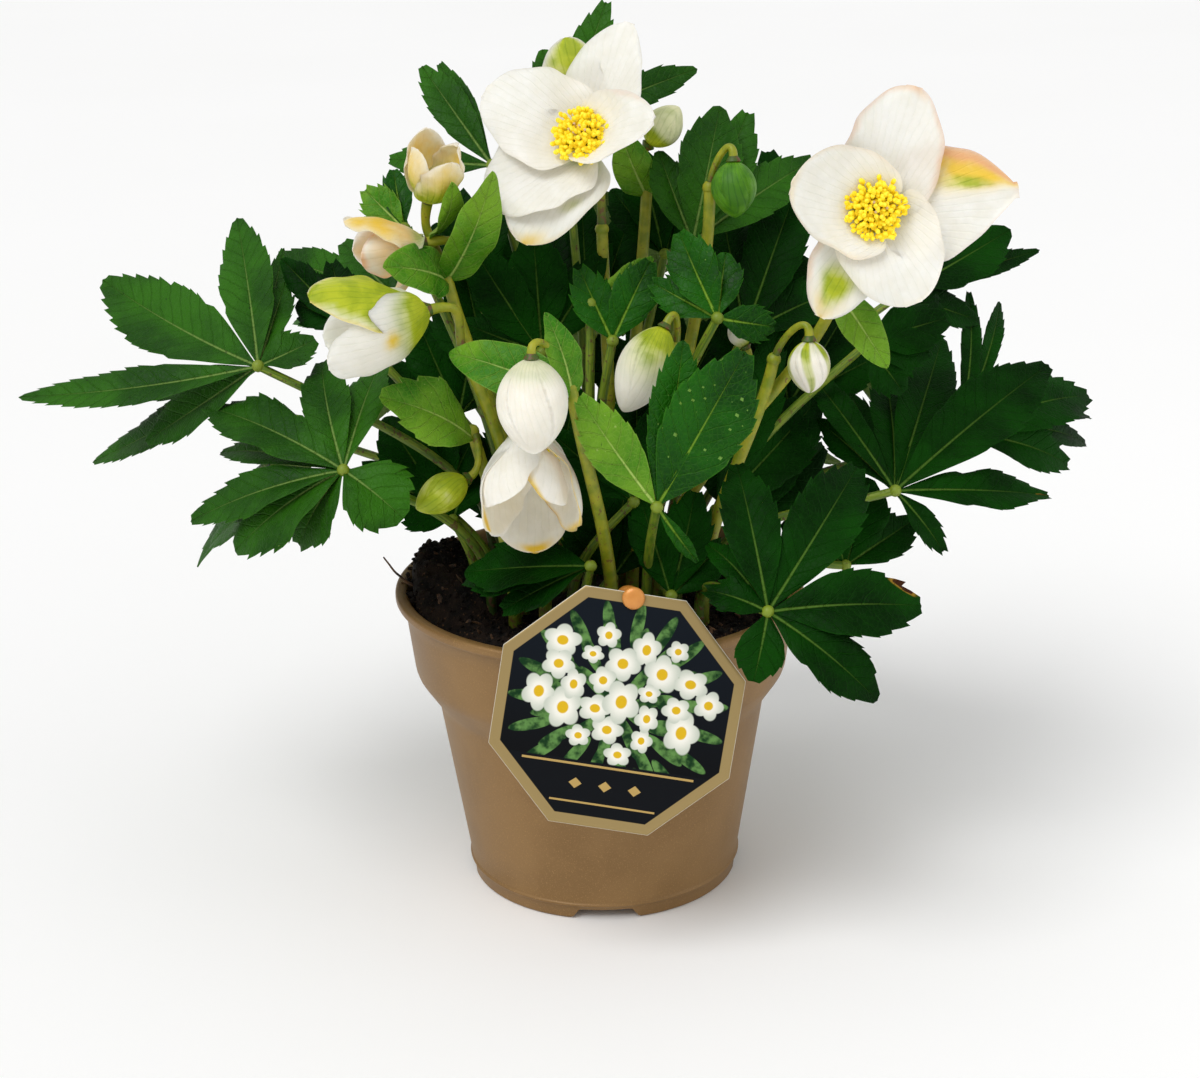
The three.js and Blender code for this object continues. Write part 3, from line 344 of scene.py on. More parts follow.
pot_plastic, inputs, place = finish("pot_plastic", {"Metallic": 0.25, "Specular IOR Level": 0.5})
cloud = place.noise(place, 24, 4)
flake = place.noise(place, 0.35, 2)
gold = cloud.fade(0.35, 0.7).colour(tone("#7f5f33"), tone("#8b6a3d"))
flake.fade(0.55, 0.75).colour(gold, tone("#a07c4b")).into(inputs["Base Color"])
(0.38 + 0.1 * cloud + 0.08 * flake).into(inputs["Roughness"])
(flake + 2 * place.noise(place, 3)).bump(0.03).into(inputs["Normal"])
piece("nursery_pot", [(Skin(pot_rings), pot_plastic)], replaces=["pot"])

# ---- Soil ----
# Potting peat that fills the pot to a finger below the rim and is heaped up on the left. It is a crumbly
# mass; over it lie loose crumbs, bark chips and one twig.

CLEARANCE = 0.3
SOIL_EDGE, SOIL_MIDDLE = 92, 97
SOIL_DOME = (  # distances from the middle, and the dome's height there
    (0, 20, 38, 50, 60), (SOIL_MIDDLE, SOIL_MIDDLE - 1, SOIL_EDGE + 3, SOIL_EDGE + 2, SOIL_EDGE),
)
SOIL_HEAP, SOIL_HEAP_RADIUS, SOIL_HEAP_HEIGHT = (-56, 5), 32, 17
SOIL_GAP = WALL + CLEARANCE + 0.1
SOIL_ROWS, SOIL_AROUND = 76, 320  # of the face's mesh
CRUMB_COUNT, CRUMB_SIZES = 2200, (0.4, 1.3)
CHIP_COUNT, CHIP_SIZES = 150, ((0.5, 0.35, 1.2), (1.3, 0.8, 3.4))
HEAP_SPILL = 6
TWIG_FOOT, TWIG_BEND, TWIG_TIP = (-59, -8, 102), (-64, -10, 105), (-68.5, -10, 113)
TWIG_POINTS = 16


def clods(x, y, size, seed):
    """Rough ground: a sum of 24 sine waves in all directions, about `size` mm long, from -1 to 1."""
    draw = np.random.default_rng(seed)
    heading = draw.uniform(0, 2 * np.pi, 24)
    number = 2 * np.pi / (size * draw.uniform(0.7, 1.6, 24))
    shift = draw.uniform(0, 2 * np.pi, 24)
    phase = number * (np.multiply.outer(x, np.cos(heading)) + np.multiply.outer(y, np.sin(heading))) + shift
    return np.sin(phase).sum(axis=-1) / 5


def soil_height(x, y):
    """The soil's face: a low dome with hummocks, the heap on the left, and clods on clods."""
    radius = np.hypot(x, y)
    dome = np.interp(radius, *SOIL_DOME)
    hummock = np.sin(x * 0.21 + 1) * np.cos(y * 0.17) + 0.6 * np.sin(x * 0.09 - y * 0.23 + 2)
    from_heap = np.hypot(x - SOIL_HEAP[0], y - SOIL_HEAP[1]) / SOIL_HEAP_RADIUS
    heap = SOIL_HEAP_HEIGHT * np.clip(1 - from_heap ** 2, 0, 1)
    rough = 0.9 * np.abs(clods(x, y, 9, 1)) + 0.55 * clods(x, y, 3.6, 2) + 0.3 * clods(x, y, 1.7, 3)
    inner = np.clip((60 - radius) / 4, 0, 1)
    return dome + (hummock + rough - 0.6) * inner + heap * np.clip((67 - radius) / 8, 0, 1)


soil_floor = FLOOR_HEIGHT + FLOOR_THICKNESS + CLEARANCE
soil_rim = BAND_RADIUS - SOIL_GAP + 1.5
wall_outline = drawn_outline([
    (1, soil_floor), (FOOT_RADIUS - SOIL_GAP, soil_floor), (SHOULDER_RADIUS - SOIL_GAP, SHOULDER_BOTTOM),
    (BAND_RADIUS - SOIL_GAP, BAND_BOTTOM), (soil_rim, SOIL_EDGE - 0.5),
], 12)
face_radius = np.linspace(soil_rim, 1, SOIL_ROWS)
face_outline = np.stack([face_radius, np.full(SOIL_ROWS, SOIL_EDGE)], axis=-1)
soil_rings = turned_rings(np.concatenate([wall_outline, face_outline]), SOIL_AROUND)
face = soil_rings[len(wall_outline):]
face[..., 2] = soil_height(face[..., 0], face[..., 1])


def unit(vectors):
    """Vectors of length one along the given ones."""
    return vectors / np.linalg.norm(vectors, axis=-1, keepdims=True)


def random_turns(draw, count):
    """Matrices that turn each piece at random: the three sides of a random orthogonal frame."""
    first = unit(draw.normal(size=(count, 3)))
    second = unit(np.cross(first, draw.normal(size=(count, 3))))
    return np.stack([first, second, np.cross(first, second)], axis=-1)


def stacked(*parts):
    """Three arrays, spread to one shape, as the last axis of one array."""
    return np.stack(np.broadcast_arrays(*parts), axis=-1).astype(float)


def crumbs(draw, count, sizes):
    """Lumps of three rings of six points, with random dents and sizes between the two given, turned and
    laid on the soil evenly over its face; at the heap some have spilt onto the pot's lip."""
    lift = np.array([-0.75, 0, 0.75])[:, None]
    angle = np.arange(6) * np.pi / 3
    girth = np.sqrt(1 - lift ** 2)
    lump = stacked(girth * np.cos(angle), girth * np.sin(angle), lift)
    lump = lump * draw.uniform(0.7, 1.2, (count, 3, 6, 1)) * draw.uniform(*sizes, (count, 1, 1, 3))
    lump = np.einsum("nij,nrcj->nrci", random_turns(draw, count), lump)
    angle = draw.uniform(0, 2 * np.pi, count)
    by_heap = np.exp(-((angle - np.pi) / 0.5) ** 2)
    radius = (soil_rim - 2 + HEAP_SPILL * by_heap) * np.sqrt(draw.uniform(0.02, 1, count))
    x, y = radius * np.cos(angle), radius * np.sin(angle)
    return lump + np.stack([x, y, soil_height(x, y) + 0.1], axis=-1)[:, None, None]


draw = np.random.default_rng(7)
crumb_skin = Skin(crumbs(draw, CRUMB_COUNT, CRUMB_SIZES))
chip_skin = Skin(crumbs(draw, CHIP_COUNT, CHIP_SIZES))

peat, inputs, place = finish("peat", {"Roughness": 0.95, "Specular IOR Level": 0.25})
lumps = place.noise(place, 5, 5)
grit = place.noise(place, 1.1, 4)
brown = lumps.fade(0.35, 0.65).colour(tone("#080605"), tone("#20160f"))
fleck = grit.fade(0.62, 0.7)
(fleck * 0.7).colour(brown, tone("#5b4029")).into(inputs["Base Color"])
(lumps + grit).bump(0.9).into(inputs["Normal"])

bark, inputs, place = finish("bark_chips", {"Roughness": 0.85})
shade = place.noise(place, 3, 4)
shade.fade(0.35, 0.7).colour(tone("#23170f"), tone("#6a4a2c")).into(inputs["Base Color"])
(shade + place.noise(place, 0.6)).bump(0.4).into(inputs["Normal"])

piece("potting_soil", [(Skin(soil_rings), peat)], replaces=["soil"])
piece("soil_crumbs", [(crumb_skin, peat), (chip_skin, bark)])


def cross_frame(path):
    """Two directions square to a path at each of its points: the first is square to the axis that the
    path stays furthest from, the second to both."""
    along = unit(np.gradient(path, axis=0))
    axis = np.eye(3)[np.abs(along).max(axis=0).argmin()]
    side = unit(np.cross(along, axis))
    return side, np.cross(along, side)


def tube_rings(path, radius, around):
    """Rings of one radius, or one for each point, square to a path."""
    side, over = cross_frame(path)
    angle = np.linspace(0, 2 * np.pi, around, endpoint=False)[:, None]
    reach = np.cos(angle) * side[:, None] + np.sin(angle) * over[:, None]
    return path[:, None] + reach * np.broadcast_to(radius, len(path))[:, None, None]


def bezier(*ends, count):
    """Points of a Bezier curve through its first and last control point and drawn towards those between:
    at each share of the way, points that far between neighbours, taken again until one is left."""
    share = np.linspace(0, 1, count)[:, None]
    level = [np.asarray(end, float) + 0 * share for end in ends]
    while len(level) > 1:
        level = [first + (second - first) * share for first, second in zip(level[:-1], level[1:])]
    return level[0]


twig_path = bezier(TWIG_FOOT, TWIG_BEND, TWIG_TIP, count=TWIG_POINTS)
twig_path[:, 1] += 0.25 * np.sin(np.linspace(0, 17, TWIG_POINTS))
twig_radius = np.linspace(0.55, 0.25, TWIG_POINTS)
piece("twig", [(Skin(tube_rings(twig_path, twig_radius, 7)), bark)])

# ---- Label and its peg ----
# An eight-sided card of printed and varnished board, held at a slight turn before the rim by a copper-
# coloured plastic peg that stands in the soil. The print is a bunch of white rosettes over rings of green
# leaflets on blue-black, diamonds between two rules on a dark band below, and a gold border; no words.

LABEL_RADIUS = 39.5
LABEL_THICKNESS = 0.9
LABEL_TURN = radians(-10)
LABEL_LEAN = 10
LABEL_MIDDLE = (4.5, -70, 84.5)
LABEL_HOLE = (-0.5, 35)
LABEL_CURL = 0.5
CARD_BORDER = 3.3
PRINT_FLOWERS = 24
PRINT_MIDDLE, PRINT_REACH = 6, 27
LEAFLETS_MIDDLE = PRINT_MIDDLE - 5
PRINT_LEAFLETS = ((19, 26), (16, 19), (9, 10))  # in each ring: how many, and the ring's radius
BAND_TOP = -16.4
RULES = ((-17.6, 26, 0.35), (-29.3, 16, 0.3))  # height, half length and half width of each
DIAMOND_HEIGHT, DIAMOND_SPACING, DIAMOND_SIZE, DIAMOND_ROW = -23.5, 9, 2, 13
GOLDEN_ANGLE = 137.5
PIN_RADIUS, PIN_HEAD_RADIUS = 2, 3.4
PIN_NECK_DEPTH = 8
PIN_FOOT = (50, -84)
HOLE_FLOOR = SOIL_EDGE - 16
STALK_STRAIGHT = 102  # stems and the peg stand upright in the soil up to here


def direction(azimuth, elevation):
    """The unit vector at an azimuth from +X towards +Y and an elevation up from level, in degrees."""
    azimuth, elevation = np.radians(azimuth), np.radians(elevation)
    level = np.cos(elevation)
    return np.stack([level * np.cos(azimuth), level * np.sin(azimuth), np.sin(elevation)], axis=-1)


def facing(place, heading, points):
    """Points moved from a frame whose Z looks along the heading, X is level and Y upwards."""
    front = direction(*heading)
    right = unit(np.cross((0, 0, 1), front))
    return points @ np.stack([right, np.cross(front, right), front]) + place


def on_label(points):
    """Points given from the middle of the upright card, moved to its place and leant back."""
    return facing(LABEL_MIDDLE, (-90, LABEL_LEAN), points)


def octagon_rings(reaches, lifts, count):
    """Rings of an eight-sided card with its flat sides up: the distance to each side is the reach."""
    angle = np.linspace(0, 2 * np.pi, count, endpoint=False)
    reach = 1 / np.cos((angle + np.pi / 8) % (np.pi / 4) - np.pi / 8)
    radius = np.multiply.outer(reaches, reach)
    return np.stack([radius * np.cos(angle), radius * np.sin(angle), lifts[:, None] + 0 * angle], axis=-1)


card_half = LABEL_THICKNESS / 2
card_reach = LABEL_RADIUS * np.cos(np.pi / 8)
inner_reaches = np.linspace(0.02, 0.97, 14) * card_reach
rim_reaches = card_reach - np.array([0.25, 0, 0, 0.25])
card_reaches = np.concatenate([inner_reaches, rim_reaches, inner_reaches[::-1]])
card_lifts = np.repeat([-1, -0.5, 0.5, 1], [15, 1, 1, 15]) * card_half
card = octagon_rings(card_reaches, card_lifts, 128)
turn_cos, turn_sin = np.cos(LABEL_TURN), np.sin(LABEL_TURN)
turn = np.array([[turn_cos, turn_sin, 0], [-turn_sin, turn_cos, 0], [0, 0, 1]])
card_bent = card @ turn
card_bent[..., 2] += LABEL_CURL * (card_bent[..., 0] / LABEL_RADIUS) ** 2
card_skin = Skin(on_label(card_bent), card=card)


def mark(place, name):
    """The three numbers that a piece's points carry under a name."""
    return place.node("Attribute", {"attribute_name": name}, output="Vector").split()


def larger(first, second):
    """The larger of two values, so that both of two masks show."""
    return first.math("MAXIMUM", first, second)


def rosette(x, y, reach, turn):
    """A flower print: 1 inside an outline of five petals, and the distance from its middle as a share."""
    angle = x.math("ARCTAN2", y, x) + turn
    wave = abs((angle * 2.5).math("COSINE", angle * 2.5))
    radius = (x * x + y * y) ** 0.5 / reach
    return (radius / (0.72 + 0.28 * wave)).fade(1.05, 0.95), radius


def folded(x, y, middle, count, ring):
    """Polar repeat: the place inside the nearest of `count` motifs on a circle of radius `ring`."""
    from_middle = y - middle
    sector = 2 * np.pi / count
    angle = x.math("ARCTAN2", from_middle, x)
    rest = angle.math("FLOORED_MODULO", angle, sector) - sector / 2
    radius = (x * x + from_middle * from_middle) ** 0.5
    return radius * rest.math("COSINE", rest) - ring, radius * rest.math("SINE", rest)


label_print, inputs, place = finish("label_print", {
    "Roughness": 0.4, "Coat Weight": 0.05, "Specular IOR Level": 0.08,
})
card_x, card_y, card_z = mark(place, "card")
side_x, side_y = abs(card_x), abs(card_y)
edge = larger(larger(side_x, side_y), (side_x + side_y) * 0.7071)
picture = card_y.fade(-26, 30).colour(tone("#030406"), tone("#0a121b"))
leaf_green = place.noise(place, 3).fade(0.35, 0.65).colour(tone("#0f3316"), tone("#5f8a48"))
for count, ring in PRINT_LEAFLETS:
    along, aside = folded(card_x, card_y, LEAFLETS_MIDDLE, count, ring)
    picture = (along * along * 0.02 + aside * aside * 0.3).fade(1.05, 0.9).colour(picture, leaf_green)
for number in range(PRINT_FLOWERS):
    heading = np.radians(GOLDEN_ANGLE * number)
    ring = PRINT_REACH * (1 - (number + 0.5) / PRINT_FLOWERS) ** 0.5
    size = 4.6 + 1.2 * np.sin(number * 1.7)
    x = card_x - float(ring * np.cos(heading))
    y = card_y - float(PRINT_MIDDLE + 0.75 * ring * np.sin(heading))
    petals, radius = rosette(x, y * (1 + 0.2 * float(np.sin(number))), size, number)
    white = radius.fade(0.2, 1).colour(tone("#f4f1e6"), tone("#c4cabc"))
    picture = petals.colour(picture, white)
    picture = radius.fade(0.33, 0.26).colour(picture, tone("#d9b01f"))
picture = card_y.fade(BAND_TOP + 0.2, BAND_TOP - 0.2).colour(picture, tone("#080b10"))
dash_x = card_x.math("PINGPONG", card_x, DIAMOND_SPACING / 2)
from_row = abs(card_y - DIAMOND_HEIGHT)
gold_mark = ((dash_x + from_row * 1.2) < DIAMOND_SIZE) * (side_x < DIAMOND_ROW)
for height, half_length, half_width in RULES:
    gold_mark = larger(gold_mark, (abs(card_y - height) < half_width) * (side_x < half_length))
picture = gold_mark.colour(picture, tone("#b5975a"))
border = edge.fade(card_reach - CARD_BORDER - 0.1, card_reach - CARD_BORDER + 0.1)
picture = border.colour(picture, tone("#a08a5c"))
on_front = card_z > card_half * 0.7
on_front.colour(tone("#d8d4c8"), picture).into(inputs["Base Color"])
(border * on_front * 0.5).into(inputs["Metallic"])
place.noise(place, 30).bump(0.15).into(inputs["Normal"])
piece("label_card", [(card_skin, label_print)], replaces=["label"])


def footing(root):
    """The x and y of a stem in the soil from its distance and azimuth."""
    return root[0] * direction(root[1], 0)[:2]


hole = np.array([*LABEL_HOLE, 0]) @ turn
head_outline = [
    (0.3, 0), (PIN_HEAD_RADIUS - 0.4, 0), (PIN_HEAD_RADIUS, 0.25), (PIN_HEAD_RADIUS - 0.05, 0.6),
    (PIN_HEAD_RADIUS - 0.5, 1.0), (PIN_HEAD_RADIUS - 1.3, 1.35), (1.0, 1.55), (0.3, 1.6),
]
head = turned_rings(head_outline, 40) + hole + (0, 0, card_half + CLEARANCE)
neck_top = on_label(hole + (0, 0, card_half + CLEARANCE + 0.3))
neck_end = on_label(hole - (0, 0, PIN_NECK_DEPTH))
pin_x, pin_y = footing(PIN_FOOT)
pin_path = np.concatenate([
    bezier(neck_top, neck_end, count=4)[:-1],
    bezier(neck_end, (pin_x, pin_y, neck_end[2]), (pin_x, pin_y, STALK_STRAIGHT + 3), count=12)[:-1],
    bezier((pin_x, pin_y, STALK_STRAIGHT + 3), (pin_x, pin_y, HOLE_FLOOR + 1), count=4),
])
copper, inputs, place = finish("peg_plastic", {"Metallic": 0.25, "Coat Weight": 0.3})
place.noise(place, 2.5).colour(tone("#c77a2e"), tone("#df9a48")).into(inputs["Base Color"])
(0.3 + 0.2 * place.noise(place, 1)).into(inputs["Roughness"])
piece("label_peg", [
    (Skin(on_label(head)), copper),
    (Skin(tube_rings(pin_path, PIN_RADIUS * 0.9, 16)), copper),
], replaces=["label_pin"])

# ---- Leaves ----
# Evergreen leaves, each grown in one piece: a stiff round stalk from the soil to a knob, and lance-shaped
# leaflets spread round the knob, leathery, toothed in their outer half, folded a little up from the rib.

LEAF_STALK_RADIUS = 1.7
LEAF_ARCH, LEAF_FOLD = 0.03, 0.26
LEAF_ARCHES = {
    "upper_left": -0.02, "lower_left": 0.07, "front_right": 0.12, "upper_right": 0.05, "far_right": 0.1,
    "behind_right": -0.02,
}
STEM_LIFT = 0.35
LEAF_APPROACH = 0.4
LEAF_ARRIVAL_SLOPE = 0.6
TOOTH_SPACING = 4.8
TOOTH_DEPTH = 0.08
TEETH_START, TEETH_END = 0.44, 0.97
TOOTH_STATIONS = (0, 0.4, 0.86)
VEIN_SPACING = 5.2
NET_SCALE = 620  # meshes of the vein net in a metre
BLADE_HALF_THICKNESS = 0.17
RIM_ROLL = 0.12

# Each leaf: its knob, the way its face looks, the root's distance and azimuth from the middle, and its
# leaflets as bearing in the face, length, width and drop behind the face.
LEAVES = {
    "upper_left": ((-104, -11, 177), (-110, 51), (30, 179), (
        (155, 79, 26, 5), (-166, 80, 16, 0), (180, 82, 16, 22), (-168, 85, 16, 30), (116, 63, 19, 0),
        (105, 58, 9, 12), (47, 20, 17, 12))),
    "lower_left": ((-76.5, -38, 151.5), (-105, 55), (38, 205), (
        (158, 55, 21, 0), (161, 58, 11, 20), (-164, 53, 16, 14), (-173, 66, 18, 35), (114, 45, 16, 0),
        (91, 46, 15, 5), (-28, 24, 25, 20))),
    "front_right": ((49, -76, 118), (-85, 40), (46, -48), (
        (96, 47, 18, 0), (55, 58, 22, 8), (0, 46, 22, 3), (-42, 41, 19, 8), (-105, 21, 15, 25),
        (154, 19, 12, 8), (119, 32, 9, 22))),
    "upper_right": ((92, -25, 137), (-80, 50), (36, -20), (
        (35, 74, 24, 0), (-1, 53, 16, 10), (63, 71, 18, 8), (80, 54, 15, 10), (111, 53, 11, 2),
        (116, 39, 11, 14), (-43, 26, 9, 35))),
    "far_right": ((118.5, 21, 141), (-68, 41), (44, 12), (
        (67, 54, 8, 0), (52, 64, 7, 10), (9, 59, 21, 8), (-2, 66, 12, 22))),
    "behind_right": ((101, 35, 185), (-75, 45), (25, 22), (
        (26, 51, 21, 4), (19, 66, 9, 14), (-13, 31, 14, 22), (-38, 17, 16, 18), (128, 23, 16, 5))),
    "top": ((-8.5, 33, 242), (-90, 25), (10, 100), (
        (70, 42, 14, 0), (23, 47, 12, 5), (104, 26, 13, 5), (-114, 16, 12, 10))),
    "top_left": ((-31, 20, 232), (-110, 29), (13, 140), (
        (133, 43, 13, 0), (127, 44, 10, 8), (175, 42, 12, 15))),
    "top_right": ((31, 3.5, 210), (-84, 24), (14, 13), (
        (75, 44, 21, 0), (63, 48, 18, 10), (33, 53, 16, 16), (106, 31, 14, 5))),
    "middle_right": ((47, 0, 181), (-90, 40), (22, -6), (
        (70, 54, 20, 0), (97, 54, 18, 5), (32, 39, 17, 15))),
    "inner_young": ((37, -27, 193.5), (-97, 26), (16, -49), (
        (115, 29, 16, 0), (85, 21, 13, 8), (150, 24, 12, 12), (-4, 18, 12, 20))),
    "front_young": ((17.5, -56, 144), (-89, 2), (37, -67), (
        (123, 41, 16, 0), (60, 53, 27, 3), (80, 50, 16, 7), (-58, 24, 5, 15))),
    "front_low": ((-2.5, -46, 122), (-99, 69), (42, -97), (
        (176, 41, 22, 10), (-165, 31, 16, 25))),
    "behind_left": ((-63, 35, 185), (-110, 45), (24, 152), (
        (142, 34, 16, 0), (160, 60, 16, 10), (178, 53, 16, 25), (106, 34, 13, 0))),
    "middle": ((-16.5, -3, 177.5), (-96, 6), (9, -152), (
        (123, 38, 18, 0), (94, 38, 20, 5), (58, 35, 16, 8), (163, 27, 14, 15))),
    "low_right": ((37, -14, 128), (-73, 18), (27, -23), (
        (38, 52, 23, 5), (63, 61, 18, 0), (15, 49, 14, 20))),
    "middle_low": ((11, -32, 137.5), (-93, -1), (30, -107), (
        (110, 34, 18, 0), (66, 41, 20, 0), (88, 37, 18, 6), (140, 34, 15, 8))),
    "right_inner": ((62, 14, 153.5), (-85, 25), (29, 10), (
        (96, 51, 20, 0), (55, 44, 20, 5), (130, 36, 18, 5), (26, 39, 16, 12))),
    "left_inner": ((-44, 10.5, 153.5), (-95, 13), (19, 166), (
        (80, 37, 18, 0), (114, 34, 18, 4), (153, 31, 17, 8), (47, 38, 16, 6))),
    "deep_left": ((-14.5, 0.5, 128), (-95, 5), (11, 171), (
        (118, 40, 21, 4), (152, 38, 18, 8), (78, 38, 19, 0), (185, 30, 15, 12))),
    "deep_right": ((23, 14, 147.5), (-88, 23), (21, 43), (
        (95, 44, 22, 0), (60, 42, 20, 4), (128, 38, 19, 4), (28, 34, 16, 10))),
    "centre_young": ((5.5, -17.5, 184.5), (-82, 16), (12, -108), (
        (61, 27, 15, 0), (111, 24, 14, 4))),
}
# The leaves at the back share one spread of five leaflets.
BACK_SPREAD = ((-90, 62, 23, 8), (-48, 58, 22, 12), (-132, 58, 22, 12), (-4, 48, 19, 6), (184, 48, 19, 6))
LEAVES.update({
    "back_right": ((78, 62, 160), (35, 50), (34, 38), BACK_SPREAD),
    "back_middle": ((22, 96, 172), (80, 52), (30, 74), BACK_SPREAD),
    "back_left": ((-46, 88, 158), (120, 50), (32, 112), BACK_SPREAD),
    "back_far_left": ((-98, 40, 140), (162, 48), (38, 150), BACK_SPREAD),
    "back_high": ((12, 56, 214), (75, 60), (14, 95), BACK_SPREAD),
    "back_low": ((44, 84, 124), (60, 45), (42, 62), BACK_SPREAD),
})
# Smaller leaves that fill the plant between the stems.
INNER_LEAVES = {
    "crown_left": ((-20.5, 12, 173.5), (-95, 22), (18, 150), (
        (97, 46, 19, 0), (78, 41, 17, 8), (117, 40, 16, 8))),
    "crown_middle": ((-1, 24, 175.5), (-88, 22), (14, 100), (
        (92, 44, 19, 0), (70, 43, 17, 6), (109, 39, 14, 10))),
    "crown_right": ((49, 16, 176.5), (-85, 24), (24, 20), (
        (99, 46, 19, 0), (75, 50, 21, 6), (51, 34, 16, 10), (115, 38, 15, 5))),
    "crown_high": ((23, 24, 201.5), (-88, 24), (12, 55), (
        (101, 35, 18, 0), (73, 32, 16, 5), (126, 28, 14, 8))),
    "crown_far": ((61.5, 26, 196), (-80, 24), (28, 25), (
        (93, 38, 17, 0), (75, 37, 14, 5), (107, 28, 13, 8))),
    "left_wall": ((-34, 4, 169.5), (-98, 22), (24, 185), (
        (105, 37, 18, 0), (82, 34, 16, 6), (130, 29, 15, 10))),
    "left_edge": ((-36, 6, 197), (-104, 24), (24, 165), (
        (107, 31, 16, 0), (82, 26, 14, 5), (133, 27, 13, 10))),
    "inner_right": ((47.5, -8, 120.5), (-82, 20), (34, -10), (
        (66, 43, 23, 0), (87, 44, 19, 6), (40, 38, 17, 12), (111, 35, 16, 8))),
    "inner_low": ((4, -26, 110.5), (-92, 18), (24, -90), (
        (104, 34, 16, 0), (81, 37, 15, 6), (52, 26, 14, 10), (131, 22, 13, 10))),
    "inner_crown": ((22, -40, 109.5), (-88, 20), (32, -52), (
        (106, 32, 15, 0), (75, 33, 17, 4), (43, 23, 14, 10))),
    "right_low": ((80.5, 6, 101), (-75, 30), (42, 5), (
        (100, 34, 20, 0), (64, 32, 20, 5), (25, 32, 16, 10), (134, 25, 17, 12))),
    "left_low": ((-49.5, -6, 128.5), (-100, 28), (34, 190), (
        (127, 35, 19, 0), (101, 35, 18, 5), (157, 32, 16, 10), (70, 25, 15, 5))),
    "soil_left": ((-46, -10, 125), (-100, 40), (40, 190), (
        (165, 17, 17, 0), (129, 22, 15, 6), (81, 19, 15, 8))),
    "left_high": ((-77.5, 6, 184.5), (-105, 35), (34, 172), (
        (140, 34, 11, 0), (157, 22, 13, 10), (114, 24, 13, 5))),
    "right_high": ((84.5, -4, 178), (-80, 32), (34, -3), (
        (14, 28, 18, 0), (-55, 19, 16, 10), (-9, 21, 14, 5))),
    "bright_young": ((-57, -8, 218.5), (-100, 30), (28, 195), (
        (138, 18, 12, 0), (106, 20, 10, 5))),
    "curled_young": ((-1, -14, 195.5), (-88, 26), (15, -100), (
        (35, 24, 7, 0),)),
}
# Further leaflets on some of the larger leaves.
FURTHER_LEAFLETS = {
    "upper_left": ((98, 37, 12, 8), (-153, 48, 18, 22)),
    "lower_left": ((-147, 43, 27, 22), (-130, 28, 24, 38)),
    "far_right": ((7, 75, 7, 22), (-18, 45, 17, 13)),
    "upper_right": ((95, 44, 10, 12),),
    "front_low": ((171, 44, 27, 18),),
}
# Leaves of a deeper green, their own tone on some and painted shade on those inside the plant, and
# leaflets that twist towards the tip and show their underside.
DEEP_AND_SHADED_LEAVES = {
    "front_right", "far_right", "behind_right", "middle_right", "low_right", "right_inner", "left_inner",
    "middle", "deep_left", "deep_right", "front_low", "middle_low", "upper_right", *INNER_LEAVES,
}
BRIGHT_LEAVES = {"front_young", "curled_young", "bright_young"}  # their first leaflet is a bright green
TWISTED = {
    ("upper_left", 2): 1.5, ("upper_left", 5): 0.9, ("upper_right", 5): -1.2, ("upper_right", 6): 1.0,
}
# Sun-scorched corners, by leaf and leaflet: share of the length and of the half width, and their size.
SCORCHED = {("front_right", 2): (0.86, 0.9, 0.09), ("upper_right", 1): (0.95, 0, 0.05)}

# Stations across a blade: close together at the rib and at the rim.
across = np.array([0, 0.06, 0.2, 0.42, 0.64, 0.84, 0.97, 1])
upper_side = np.concatenate([across[::-1], -across[1:]])
BLADE_ACROSS = np.concatenate([upper_side, upper_side[-2:0:-1]])
BLADE_FACE = np.repeat([1.0, -1.0], [len(upper_side), len(upper_side) - 2])


def toothed_rows(length, draw):
    """Stations along a toothed blade and its teeth there: three rows to a tooth, at its foot, its slope
    and its point. A tooth's place is 0 at the foot and 1 at the point."""
    count = max(4, round((TEETH_END - TEETH_START) * length / TOOTH_SPACING))
    pitch = (TEETH_END - TEETH_START) / count
    smooth = np.linspace(0.01, TEETH_START, 11)[:-1]
    starts = TEETH_START + pitch * np.arange(count)
    toothed = (starts[:, None] + pitch * np.array(TOOTH_STATIONS)).ravel()
    along = np.concatenate([smooth, toothed, [0.985, 0.998]])
    height = np.concatenate([np.ones(10), np.tile([0.0, 0.45, 1.0], count), [0.6, 1]])
    depth = np.concatenate([np.zeros(10), np.repeat(draw.uniform(0.35, 1.5, count), 3), [0.3, 0]])
    return along, height, depth


def smooth_rows(count):
    """Stations along a blade with a smooth rim, close together at its ends."""
    along = 0.5 - 0.5 * np.cos(np.pi * np.linspace(0.03, 0.99, count))
    return along, np.ones(count), np.zeros(count)


